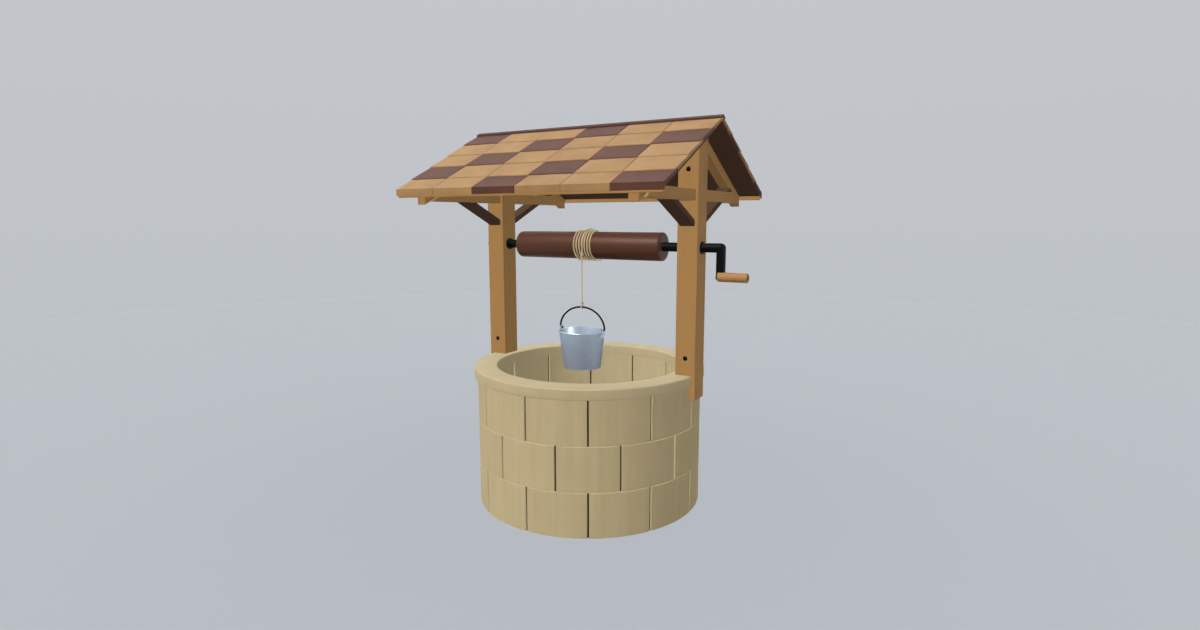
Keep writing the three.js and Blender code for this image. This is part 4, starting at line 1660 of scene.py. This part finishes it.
@dataclass
class RingWall:
    """Three courses of twelve curved blocks, a raked mortar core in painted shade, and the coping.

    Attributes:
        radius: Outer radius of the wall.
        thick: Thickness of the wall.
        course: Height of a course.
        courses: Number of courses.
        blocks: Blocks in a course.
        joint: Width of an upright joint.
        bed: Gap between two courses at the face.
        arris: Size of the blocks' eased edges.
        rake: How far the mortar lies behind the face.
        coping_out: How far the coping stands out in front of the wall.
        coping_in: How far it stands in over the well.
        coping_round: Rounding of its four edges: inner and outer below, outer and inner above.
        tongue: Thickness of the posts' tongues, with the gap behind them.
        play: Gap beside a tongue.
    """

    radius: float = 0.500
    thick: float = 0.074
    course: float = 0.188
    courses: int = 3
    blocks: int = 12
    joint: float = 0.007
    bed: float = 0.0004
    arris: float = 0.0040
    rake: float = 0.007
    coping_out: float = 0.016
    coping_in: float = 0.0115
    coping_round: tuple[float, ...] = (0.002, 0.003, 0.006, 0.005)
    tongue: float = 0.0283
    play: float = 0.0003

    def block(self, name: str, low: float) -> bpy.types.Object:
        """Makes one block with its middle on +X of the ring's own axis.

        Args:
            name: The piece's name.
            low: Height of the course's bed.

        Returns:
            The block.
        """
        steps, half = 12, math.pi / self.blocks
        inner = self.radius - self.thick
        points: list[tuple[float, float, float]] = []
        for r in (self.radius, inner):
            reach = half - math.asin(self.joint / 2 / r)
            for z in (low + self.bed / 2, low + self.course - self.bed / 2):
                for k in range(steps + 1):
                    angle = reach * (2 * k / steps - 1)
                    points.append((r * math.cos(angle), r * math.sin(angle), z))
        n = steps + 1
        quads = [
            quad
            for k in range(steps)
            for quad in (
                (k, k + 1, n + k + 1, n + k),
                (2 * n + k, 3 * n + k, 3 * n + k + 1, 2 * n + k + 1),
                (k, 2 * n + k, 2 * n + k + 1, k + 1),
                (n + k, n + k + 1, 3 * n + k + 1, 3 * n + k),
            )
        ]
        ends = [(0, n, 3 * n, 2 * n), (n - 1, 3 * n - 1, 4 * n - 1, 2 * n - 1)]
        piece = face_out(new_piece(name, points, quads + ends))

        def share(edge: bmesh.types.BMEdge) -> float:
            """Eases the upper edges most, which catch the light, and the lower ones least.

            Args:
                edge: An edge of the block.

            Returns:
                Its share of the arris.
            """
            heights = [v.co.z - low for v in edge.verts]
            if max(heights) < self.bed:
                return 0.2
            return 1.0 if min(heights) > self.course - self.bed else 0.65

        return ease_edges(piece, self.arris, 0.002, 3, share)

    def build(self) -> None:
        """Builds and dresses the wall."""
        ring = circle_rule(paint(Finish.BLOCK))
        for row in range(self.courses):
            piece = self.block(f"wall_blocks_{row + 1}", row * self.course)
            turn = math.pi / self.blocks * (1 + row % 2)
            ring.run(piece, Count=self.blocks, Centre=AXIS, Turn=turn)
            hand_over(piece, "root", "stone", None, f"wall_course_{row + 1}")
        self.mortar()
        self.coping()

    def mortar(self) -> None:
        """The core of mortar, a little lower than the blocks and behind both their faces. Its near-black
        colour is painted shade of the deep joints.
        """
        inner, outer = self.radius - self.thick + self.rake, self.radius - self.rake
        low, high = 0.001, self.courses * self.course - 0.0005
        section = [(inner, low), (outer, low), (outer, high), (inner, high)]
        core = turned("wall_mortar_painted_shade", section, 144, Matrix.Translation(AXIS))
        # The core's near-black finish is painted shade for the joints.
        hand_over(smooth(core), "root", "stone", Finish.MORTAR_PAINTED_SHADE)

    def coping(self) -> None:
        """The flat ring on the wall, notched where the posts' tongues pass it."""
        low, high = (corner.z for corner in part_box("coping_ring"))
        inner = self.radius - self.thick - self.coping_in
        outer = self.radius + self.coping_out
        corners = [(inner, low), (outer, low), (outer, high), (inner, high)]
        rim = fillet(corners, self.coping_round, 6)
        piece = smooth(turned("coping", rim, 192, Matrix.Translation(AXIS)))
        past = 0.01  # how far a notch's cutter runs on over the coping's faces
        cutters = []
        for side in ("left", "right"):
            first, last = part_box(f"post_{side}")
            near, far = first.y - self.play, last.y + self.play
            section = [(near, low - past), (far, low - past), (far, high + past), (near, high + past)]
            if side == "left":
                span = (first.x - 5 * past, first.x + self.tongue)
            else:
                span = (last.x - self.tongue, last.x + 5 * past)
            cutters.append(prism(f"notch_{side}", section, span))
        cut(piece, cutters)
        hand_over(smooth(piece), "root", "coping_stone", Finish.COPING, "coping_ring")


@dataclass
class Frames:
    """The two posts with their ties, braces, rafters and bolts.

    Attributes:
        eased: Width of the timbers' eased edges.
        pitch: The roof's slope in degrees.
        brace: The braces' slope in degrees.
        bolt_head: Radius of a bolt's head.
        bolt_shank: Radius of its shank.
        bolt_tall: Thickness of its head and of its nut.
        nut_corner: Radius of the nut over its corners.
        nut_face: Radius of the nut's flat face inside its bevel.
        nut_bevel: Height of that bevel.
    """

    eased: float = 0.0022
    pitch: float = 27.1
    brace: float = 24.1
    bolt_head: float = 0.010
    bolt_shank: float = 0.005
    bolt_tall: float = 0.004
    nut_corner: float = 0.010
    nut_face: float = 0.009
    nut_bevel: float = 0.0006

    def timber(
        self,
        node: str,
        along: Vector,
        heart: tuple[float, float],
        tone: float,
        slot: str = "frame_timber",
        finish: Finish = Finish.POST,
    ) -> None:
        """Dresses one timber.

        Args:
            node: The CAD node.
            along: The direction of its fibres.
            heart: The tree's heart from the timber's middle.
            tone: Its shade from 0 to 1.
            slot: The record's material slot.
            finish: Its finish.
        """
        piece = ease_edges(from_node(node, f"{node}_timber"), self.eased)
        lay_grain(piece, along, heart, tone)
        hand_over(piece, "root", slot, finish, node)

    def build(self) -> None:
        """Builds and dresses both frames, each timber from another place in the tree."""
        up, down = math.radians(self.brace), math.radians(self.pitch)
        for k, side in enumerate(("left", "right")):
            self.timber(f"post_{side}", Vector((0, 0, 1)), (0.05, 0.03 - 0.07 * k), 0.3 - 0.1 * k)
            self.timber(f"tie_beam_{side}", Vector((0, 1, 0)), (0.04, 0.05), 0.15 + 0.3 * k)
            for m, (way, sign) in enumerate((("front", -1), ("back", 1))):
                rising = Vector((0, sign * math.cos(up), math.sin(up)))
                falling = Vector((0, sign * math.cos(down), -math.sin(down)))
                brace, rafter = f"knee_brace_{side}_{way}", f"rafter_{side}_{way}"
                shade = 0.2 + 0.3 * k + 0.2 * m
                self.timber(brace, rising, (0.03, 0.04), shade, "dark_timber", Finish.DARK_WOOD)
                self.timber(rafter, falling, (0.05, -0.02), 0.5 + 0.2 * k - 0.3 * m)
        self.bolts()

    def bolts(self) -> None:
        """Four stitch bolts with domed heads in front and nuts behind."""
        rule = line_rule([paint(Finish.BLACK)])
        head, shank, tall = self.bolt_head, self.bolt_shank, self.bolt_tall
        place = Matrix.Rotation(-math.pi / 2, 4, "X")
        for end in ("foot", "top"):
            names = [f"post_{end}_bolt_{side}" for side in ("left", "right")]
            spots = [(low + high) / 2 for low, high in (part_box(name) for name in names)]
            low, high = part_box(names[0])
            depth = (high.y - low.y) / 2
            arc = [k * math.pi / 12 for k in range(6, -1, -1)]
            dome = [(head * math.cos(a), -depth + tall * (1 - math.sin(a))) for a in arc]
            inner = depth - tall
            profile = [*dome, (shank, -depth + tall), (shank, inner), (0.0, inner)]
            corner, bevel = self.nut_corner, depth - self.nut_bevel
            nut = [(0.0, inner), (corner, inner), (corner, bevel), (self.nut_face, depth), (0.0, depth)]
            parts = [turned("bolt", profile, 24, place), turned("nut", nut, 6, place)]
            piece = smooth(join(f"post_{end}_bolts", parts), 35)
            rule.run(piece, Count=2, Start=spots[0], Step=spots[1] - spots[0], Third=-1)
            hand_over(piece, "root", "black_steel", None, *names)


@dataclass
class Roof:
    """Deck, fascias, five rows of six tiles on each slope, and the ridge cap.

    Attributes:
        pitch: Slope in degrees.
        half: Half the roof's length.
        eave: Level reach from the ridge line to the eave tiles' face.
        deck: Thickness of the deck.
        butt: Thickness of a tile's lower edge.
        head: Thickness of a tile's upper edge.
        lap: Length of a tile that the next row covers.
        gap: Joint between two tiles of a row.
        play: Fitting gap.
        tiles: Tiles in a row.
        rows: Rows on each slope.
        eave_show: Level length of the eave row that shows.
        row_show: Level length of each row above it that shows.
        face: Height of the eave tiles' turned-down face.
        lip: Thickness of that face.
        eased: Width of a tile's eased edges, and of the boards'.
    """

    pitch: float = 27.1
    half: float = 0.610
    eave: float = 0.545
    deck: float = 0.010
    butt: float = 0.015
    head: float = 0.011
    lap: float = 0.022
    gap: float = 0.003
    play: float = 0.0003
    tiles: int = 6
    rows: int = 5
    eave_show: float = 0.091
    row_show: float = 0.112
    face: float = 0.027
    lip: float = 0.0065
    eased: tuple[float, float] = (0.0011, 0.0012)

    def over(self, reach: float, thick: float) -> float:
        """Gives a height over the deck.

        Args:
            reach: Level distance from the ridge line.
            thick: Distance above the deck, square to it.

        Returns:
            The height in the frame.
        """
        slope = math.radians(self.pitch)
        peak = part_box("post_left")[1].z + self.play / math.cos(slope)
        return peak - math.tan(slope) * reach + (self.deck + thick) / math.cos(slope)

    def foot(self, row: int) -> float:
        """Level reach of a row's lower edge."""
        return self.eave if row == 0 else self.eave - self.eave_show - self.row_show * (row - 1)

    def section(self, row: int) -> Outline:
        """A tile's section in level reach and height.

        Args:
            row: Its row, 0 at the eave.

        Returns:
            The corners in order.
        """
        butt, top = self.foot(row), row == self.rows - 1
        after = self.play if top else self.foot(row + 1)
        head = self.play if top else after - self.lap + self.play
        lip = self.eave - self.lip
        if row == 0:
            low = self.over(self.eave, self.butt) - self.face
            nose = [(self.eave, low), (lip, low), (lip, self.over(lip, self.play))]
        else:
            nose = [
                (butt, self.over(butt, self.head + self.play)),
                (butt - self.lap, self.over(butt - self.lap, self.head + self.play)),
                (butt - self.lap, self.over(butt - self.lap, self.play)),
            ]
        upper = [
            (head, self.over(head, self.play)),
            (head, self.over(head, self.head)),
            (after, self.over(after, self.head)),
        ]
        return [*nose, *(upper[:2] if top else upper), (butt, self.over(butt, self.butt))]

    def build(self) -> None:
        """Builds and dresses the roof."""
        ridge = Vector((1, 0, 0))
        rule = line_rule([paint(Finish.TAN_TILE), paint(Finish.DARK_TILE)])
        for way, sign in (("front", -1), ("back", 1)):
            for row in range(self.rows):
                self.tile_row(rule, way, sign, row)
            for node, finish, slot in (
                (f"roof_deck_{way}", Finish.DARK_WOOD, "dark_timber"),
                (f"fascia_{way}", Finish.POST, "frame_timber"),
            ):
                piece = ease_edges(from_node(node, f"{node}_board"), self.eased[1])
                lay_grain(piece, ridge, (0.06, 0.04), 0.4 + 0.1 * sign)
                hand_over(piece, "root", slot, finish, node)
        cap = ease_edges(from_node("ridge_cap", "ridge_cap_strip"), self.eased[1], 0.004)
        lay_grain(cap, ridge, (0.05, 0.03), 0.7)
        hand_over(cap, "root", "dark_timber", Finish.CAP, "ridge_cap")

    def tile_row(self, rule: Rule, way: str, sign: int, row: int) -> None:
        """Lays one row of tiles, every third of them a dark one.

        Args:
            rule: The rule that sets the tiles in a line.
            way: The slope's name.
            sign: Its side, -1 in front.
            row: The row, 0 at the eave.
        """
        slope, width = math.radians(self.pitch), 2 * self.half / self.tiles
        down = Vector((0, sign * math.cos(slope), -math.sin(slope)))
        outline = [(sign * reach, height) for reach, height in self.section(row)]
        across = ((self.gap - width) / 2, (width - self.gap) / 2)
        piece = ease_edges(prism(f"tiles_{way}_{row + 1}", outline, across), self.eased[0], 0.004)
        lay_grain(piece, down, (0.02 + 0.01 * row, 0.035), 0.0)
        # The rule gives each tile a tone of its own.
        piece.data.attributes.remove(piece.data.attributes["tone"])
        first = Vector((AXIS.x - self.half + width / 2, 0, 0))
        step = Vector((width, 0, 0))
        rule.run(piece, Count=self.tiles, Start=first, Step=step, Third=(row + 2) % 3)
        hand_over(piece, "root", "roof_tile", None, f"tile_row_{way}_{row + 1}")


@dataclass
class Windlass:
    """Bushes, the cranked axle with its pins, the drum and the grip.

    Attributes:
        radius: The drum's radius.
        bore: Radius of the hole for the axle.
        bore_round: Rounding of the bore's ends.
        eased: Rounding of the drum's ends.
        anchor: Radius of the hole for the rope's end.
        pin: Radius of the hole for the grip's pin.
        pin_head: Radius of the recess for the pin's head.
        pin_deep: Depth of that recess.
        filed: Width of the metal pieces' eased edges.
    """

    radius: float = 0.060
    bore: float = 0.0195
    bore_round: float = 0.001
    eased: float = 0.004
    anchor: float = 0.0042
    pin: float = 0.0065
    pin_head: float = 0.0105
    pin_deep: float = 0.005
    filed: float = 0.0008

    def build(self) -> None:
        """Builds and dresses the windlass."""
        turn = Matrix.Rotation(math.pi / 2, 4, "Y")
        for side in ("left", "right"):
            for where in ("inner", "outer"):
                node = f"axle_bush_{side}_{where}"
                bush = ease_edges(from_node(node, f"{node}_turned"), self.filed, 0.0)
                hand_over(bush, "root", "black_steel", Finish.BLACK, node)
        piece = ease_edges(from_node("crank_axle", "crank_and_axle"), self.filed, 0.0)
        hand_over(piece, "windlass", "black_steel", Finish.BLACK, "crank_axle")
        pin = ease_edges(from_node("axle_split_pin", "split_pin"), 0.0003, 0.0)
        hand_over(pin, "windlass", "galvanised_steel", Finish.ZINC, "axle_split_pin")
        for node in ("drum_pin", "crank_grip_pin"):
            pin = ease_edges(from_node(node, f"{node}_round"), 0.0007, 0.0)
            hand_over(pin, "windlass", "black_steel", Finish.BLACK, node)
        self.drum(turn)
        self.grip(turn)

    def drum(self, turn: Matrix) -> None:
        """Turns the drum with its bore and the hole for the rope's end.

        Args:
            turn: From Z to the axle's direction.
        """
        low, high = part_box("windlass_drum")
        middle = (low + high) / 2
        half = (high.x - low.x) / 2
        corners = [(self.bore, -half), (self.radius, -half), (self.radius, half), (self.bore, half)]
        profile = fillet(corners, [self.bore_round, self.eased, self.eased, self.bore_round])
        piece = smooth(turned("drum", profile, 96, Matrix.Translation(middle) @ turn))
        hole = tube("anchor_hole", Rope().tail(), self.anchor, 24)
        piece = smooth(cut(piece, [hole]))
        lay_grain(piece, along=Vector((1, 0, 0)), heart=(0.004, -0.006), tone=0.5)
        hand_over(piece, "windlass", "drum_timber", Finish.DRUM, "windlass_drum")

    def grip(self, turn: Matrix) -> None:
        """Turns the grip with its rounded ends.

        Args:
            turn: From Z to the axle's direction.
        """
        low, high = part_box("crank_grip")
        middle, half, outer = (low + high) / 2, (high.x - low.x) / 2, (high.y - low.y) / 2
        seat = half - self.pin_deep
        corners = [
            (self.pin, -half),
            (outer, -half),
            (outer, half),
            (self.pin_head, half),
            (self.pin_head, seat),
            (self.pin, seat),
        ]
        rounding = [0.0006, 0.003, 0.003, 0.0008, 0.0, 0.0]  # of the corners in their order
        profile = fillet(corners, rounding)
        piece = smooth(turned("grip", profile, 64, Matrix.Translation(middle) @ turn))
        lay_grain(piece, along=Vector((1, 0, 0)), heart=(0.02, 0.012), tone=0.4)
        hand_over(piece, "grip", "frame_timber", Finish.GRIP, "crank_grip")


@dataclass
class Rope:
    """The wound rope, the stretch that hangs, and the whipped eye at the bail.

    Attributes:
        radius: Half the rope's thickness.
        lay: Length in which a strand goes once round.
        one: Radius of the first layer's centre line.
        two: Radius of the layer that crosses over it.
        pitch: Distance from turn to turn.
        turns: Turns on the drum.
        last: X of the turn nearest the anchor hole, from the well's axis.
        fall: X of the hanging rope, from the well's axis.
        cross: Degrees round the drum from which and to which the rope crosses the coil.
        sink: Degrees from which and to which it sinks on to the drum.
        leave: Degrees past the last whole turn at which the rope's tail leaves the drum.
        bend: Radius of the bend into the anchor hole.
        spacing: Distance from one ring of points to the next along the rope.
        length: Length of the hanging stretch; not used.
        wire: Radius of the bail's wire.
        knot: Height above that wire at which the hanging stretch meets the eye.
        twine: Radius of the whipping's twine.
        whips: Turns of the whipping.
        rule: The tree that lays the strands, made when the rope is built.
    """

    radius: float = 0.00325
    lay: float = 0.024
    one: float = 0.06425
    two: float = 0.07205
    pitch: float = 0.0136
    turns: int = 7
    last: float = -0.043
    fall: float = 0.005
    cross: tuple[int, int] = (100, 260)
    sink: tuple[int, int] = (230, 290)
    leave: int = 140
    bend: float = 0.013
    spacing: float = 0.0016
    length: float = 0.25
    wire: float = 0.004
    knot: float = 0.0165
    twine: float = 0.0007
    whips: int = 7
    rule: Rule | None = None

    @property
    def axis(self) -> Vector:
        """A point of the drum's axis in the well's middle."""
        low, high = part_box("windlass_drum")
        return Vector((AXIS.x, 0.0, (low.z + high.z) / 2))

    def turn_at(self, angle: float) -> float:
        """X of the even turns at an angle."""
        first = self.last + (self.turns - 1) * self.pitch
        return first - self.pitch * (angle / math.tau - 1)

    def point(self, angle: float) -> Vector:
        """Gives a point of the laid rope.

        The rope comes up where it hangs, in the coil's middle. It crosses over the turns below
        it to the coil's end, drops on to the drum there, and runs back in even turns.

        Args:
            angle: From the drum's front, up and over the top.

        Returns:
            The point in the frame.
        """

        def eased(first: float, last: float) -> float:
            """Goes softly from 0 to 1.

            Args:
                first: Angle in degrees where it leaves 0.
                last: Angle where it reaches 1.

            Returns:
                The share at this point's own angle.
            """
            share = (math.degrees(angle) - first) / (last - first)
            share = min(max(share, 0.0), 1.0)
            return share * share * (3 - 2 * share)

        end = math.radians(self.cross[1])
        across = self.fall + (self.turn_at(end) - self.fall) * eased(*self.cross)
        x = across if angle < end else self.turn_at(angle)
        r = self.two + (self.one - self.two) * eased(*self.sink)
        return self.axis + Vector((x, -r * math.cos(angle), r * math.sin(angle)))

    def tail(self) -> list[Vector]:
        """Leads the rope's end off the drum's surface and down into the anchor hole.

        Returns:
            The points from the last turn into the hole.
        """
        angle = self.turns * math.tau + math.radians(self.leave)
        start = self.point(angle)
        along = Vector((0, math.sin(angle), math.cos(angle)))
        inward = Vector((0, math.cos(angle), -math.sin(angle)))
        points = [start]
        steps = 12
        for k in range(1, steps + 1):
            turn = k / steps * math.pi / 2
            ahead, down = self.bend * math.sin(turn), self.bend * (1 - math.cos(turn))
            points.append(start + along * ahead + inward * down)
        points.append(points[-1] + inward * 2 * self.radius)
        return points

    def lay_rope(self, name: str, path: Sequence[Vector]) -> bpy.types.Object:
        """Lays rope along a path.

        Args:
            name: The piece's name.
            path: The points of its centre line.

        Returns:
            The rope's mesh.
        """
        mesh = bpy.data.meshes.new(name)
        mesh.from_pydata([tuple(p) for p in path], [(k, k + 1) for k in range(len(path) - 1)], [])
        piece = bpy.data.objects.new(name, mesh)
        bpy.context.scene.collection.objects.link(piece)
        self.rule.run(piece, Radius=self.radius, Lay=self.lay, Spacing=self.spacing)
        return smooth(piece, 75)

    def build(self) -> None:
        """Builds and dresses the rope."""
        self.rule = laid_rule(paint(Finish.ROPE))
        last, step = self.turns * 360 + self.leave, 4
        wound = [self.point(math.radians(angle)) for angle in range(0, last, step)]
        path = [wound[0] - Vector((0, 0, 2 * self.radius)), *wound, *self.tail()]
        winding = self.lay_rope("rope_on_drum", path)
        hand_over(winding, "windlass", "rope", None, "rope_winding")
        self.hang()

    def hang(self) -> None:
        """Hangs the free stretch with its eye round the bail and the whipping above it."""
        low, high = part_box("rope_fall")
        x, y = (low.x + high.x) / 2, (low.y + high.y) / 2
        bail = Vector((x, y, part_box("bucket_bail")[1].z - self.wire))
        drop, steps = bail.z + self.knot - high.z, 24
        path = [Vector((x, y, high.z + drop * k / steps)) for k in range(steps + 1)]
        fall = self.lay_rope("rope_fall_laid", path)
        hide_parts("rope_fall")
        eye = self.lay_rope("rope_eye", self.eye_path(bail))
        hand_over(eye, "bail", "rope", None)
        whip = tube("rope_whipping", self.whipping_path(bail), self.twine, 8)
        hand_over(smooth(whip), "bail", "rope", Finish.ROPE)
        tuple(path[0])
        tuple(path[0])
        tuple(path[-1])
        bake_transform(fall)
        log.info("rope_fall_laid: %d faces, between root and bail", len(fall.data.polygons))

    def eye_path(self, bail: Vector) -> list[Vector]:
        """Leads the rope round the bail and up again beside itself.

        Args:
            bail: The middle of the bail's wire at its crown.

        Returns:
            The centre line of the loop.
        """
        ring = self.wire + self.radius
        down = [(0.0, self.knot), (-0.0028, 0.0125), (-0.0062, 0.0075)]
        angles = [math.radians(150 + 30 * k) for k in range(9)]
        under = [(ring * math.cos(a), ring * math.sin(a)) for a in angles]
        up = [(0.0062, 0.0075), (0.0054, 0.0125), (0.0052, self.knot), (0.0050, 0.0195)]
        return smoothed([bail + Vector((0, y, z)) for y, z in down + under + up], 6)

    def whipping_path(self, bail: Vector) -> list[Vector]:
        """Winds thin twine round both parts of the rope, above the eye.

        Args:
            bail: The middle of the bail's wire at its crown.

        Returns:
            The centre line of the twine.
        """
        steps, bite = 20, 0.0003  # points in each turn, and how far the twine sinks in
        clear = self.twine - bite
        across, deep = self.radius + clear, 1.75 * self.radius + clear
        middle, low, rise = 0.0026, 0.0125, 0.0011
        points = []
        for k in range(self.whips * steps + 1):
            a = math.tau * k / steps
            spot = (across * math.cos(a), middle + deep * math.sin(a), low + rise * k / steps)
            points.append(bail + Vector(spot))
        return points


@dataclass
class Bucket:
    """A tapered sheet bucket with a rolled rim, riveted ears and a wire bail.

    Attributes:
        rim: Outer radius under the rolled rim.
        foot: Outer radius at the foot.
        height: Height of the wall.
        sheet: Thickness of the wall.
        roll: Radius of the rolled rim.
        ledge: Width of the ledge that the base rests on.
        wire: Radius of the bail's wire.
        reach: Half the bail's width.
        rise: Height of the bail's bow.
        hook: Length of its turned-in ends.
        corner: Size of the bend from the bow into those ends.
        pivot: Height of its pivots above the rim.
        rivets: Distance between an ear's two rivets.
        rivet_up: Height of the rivets above the ear's foot.
        rivet_head: Radius of a rivet's head.
        rivet_tall: Height of that head.
    """

    rim: float = 0.1025
    foot: float = 0.081
    height: float = 0.1645
    sheet: float = 0.0016
    roll: float = 0.0035
    ledge: float = 0.007
    wire: float = 0.004
    reach: float = 0.114
    rise: float = 0.097
    hook: float = 0.015
    corner: float = 0.005
    pivot: float = 0.006
    rivets: float = 0.010
    rivet_up: float = 0.007
    rivet_head: float = 0.0032
    rivet_tall: float = 0.0016

    def build(self) -> None:
        """Builds and dresses the bucket."""
        low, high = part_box("bucket_body")
        middle = Vector(((low.x + high.x) / 2, (low.y + high.y) / 2, high.z))
        self.shell(middle)
        self.base(middle)
        self.ears()
        self.bail(middle + Vector((0, 0, self.pivot)))

    def wall(self, height: float) -> float:
        """Outer radius of the wall at a height from the rim's top, which is 0."""
        return self.rim + (self.rim - self.foot) * height / self.height

    def shell(self, middle: Vector) -> None:
        """The wall with its rolled rim.

        Args:
            middle: The rim's middle at its top.
        """
        # The rim's roll stands 0.2 mm clear of the wall under it, as rolled sheet does.
        foot, rolled, clear, inner = -self.height, -self.roll, 0.0002, -0.0005
        arc = [
            (self.rim + self.roll * math.cos(a), rolled + self.roll * math.sin(a))
            for a in (math.pi * (k / 16 - 0.5) for k in range(17))
        ]
        profile = [
            (self.wall(foot), foot),
            (self.wall(-2 * self.roll), -2 * self.roll - clear),
            *arc,
            (self.rim - self.sheet, inner),
            (self.wall(foot + self.sheet) - self.sheet, foot + self.sheet),
            (self.foot - self.ledge, foot + self.sheet),
            (self.foot - self.ledge, foot),
        ]
        piece = smooth(turned("bucket_shell", profile, 112, Matrix.Translation(middle)), 40)
        hand_over(piece, "bucket", "galvanised_steel", Finish.ZINC, "bucket_body")

    def base(self, middle: Vector) -> None:
        """The base disc with a pressed ring.

        Args:
            middle: The rim's middle at its top.
        """
        low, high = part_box("bucket_base")
        outer, thick = (high.x - low.x) / 2, high.z - low.z
        # The ring is pressed down into the disc, whose sheet is thinner than its box by that.
        press, spare = 0.0006, 0.0007
        ring = [(0.045, 0.0), (0.047, press), (0.052, press), (0.054, 0.0)]
        upper = [(0.0, 0.0), *ring, (outer, 0.0)]
        profile = [(r, -z) for r, z in upper] + [(r, spare - z - thick) for r, z in reversed(upper)]
        place = Matrix.Translation(Vector((middle.x, middle.y, high.z)))
        piece = smooth(turned("bucket_bottom", profile, 96, place))
        hand_over(piece, "bucket", "galvanised_steel", Finish.ZINC, "bucket_base")

    def ears(self) -> None:
        """The ears with two rivets each."""
        for side in ("left", "right"):
            node = f"bucket_ear_{side}"
            piece = ease_edges(from_node(node, f"{node}_plate"), 0.0006, 0.0018)
            hand_over(piece, "bucket", "galvanised_steel", Finish.ZINC, node)
        low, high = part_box("bucket_ear_left")[0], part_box("bucket_ear_right")[1]
        outer, sunk = self.rivet_head, 0.001
        arc = [k * math.pi / 8 for k in range(5)]
        dome = [(outer * math.cos(a), self.rivet_tall * math.sin(a)) for a in arc]
        caps = []
        for sign, x in ((-1, low.x), (1, high.x)):
            place = Matrix.Translation(Vector((x, 0, 0))) @ Matrix.Rotation(sign * math.pi / 2, 4, "Y")
            caps.append(turned(f"rivet_{sign}", [*dome, (0.0, -sunk), (outer, -sunk)], 16, place))
        piece = smooth(join("ear_rivets", caps), 60)
        start = Vector((0, (low.y + high.y - self.rivets) / 2, low.z + self.rivet_up))
        rule = line_rule([paint(Finish.ZINC)])
        rule.run(piece, Count=2, Start=start, Step=Vector((0, self.rivets, 0)), Third=-1)
        hand_over(piece, "bucket", "galvanised_steel", None)

    def bail(self, pivot: Vector) -> None:
        """The half-round wire handle with its turned-in ends.

        Args:
            pivot: The middle between the two pivots.
        """
        arc = [math.pi * k / 64 for k in range(65)]
        bow = [(self.reach * math.cos(a), self.rise * math.sin(a)) for a in arc]
        bend, cut_off = self.corner, 0.3 * self.corner
        ends = [
            (self.reach - self.hook, 0.0),
            (self.reach - bend, 0.0),
            (self.reach - cut_off, cut_off),
        ]
        flat = [*ends, *[p for p in bow if p[1] > bend], *[(-x, z) for x, z in reversed(ends)]]
        path = [pivot + Vector((x, 0, z)) for x, z in flat]
        piece = smooth(tube("bail_wire", path, self.wire, 24))
        hand_over(piece, "bail", "black_steel", Finish.BLACK, "bucket_bail")


def main() -> None:
    """Builds the studio and the well's parts in order."""
    logging.basicConfig(level=logging.INFO, format="%(name)s %(message)s")
    scene = bpy.context.scene
    scene.view_settings.view_transform = "Standard"
    studio = Studio()
    studio.camera()
    Rope().build()
    for part in (studio, RingWall(), Frames(), Roof(), Windlass(), Bucket()):
        part.build()
        log.info("%s done", type(part).__name__)
    boxes = {"cad": cad_box, "visual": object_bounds()}
    {name: [list(low), list(high)] for name, (low, high) in boxes.items()}


if __name__ == "__main__":
    main()
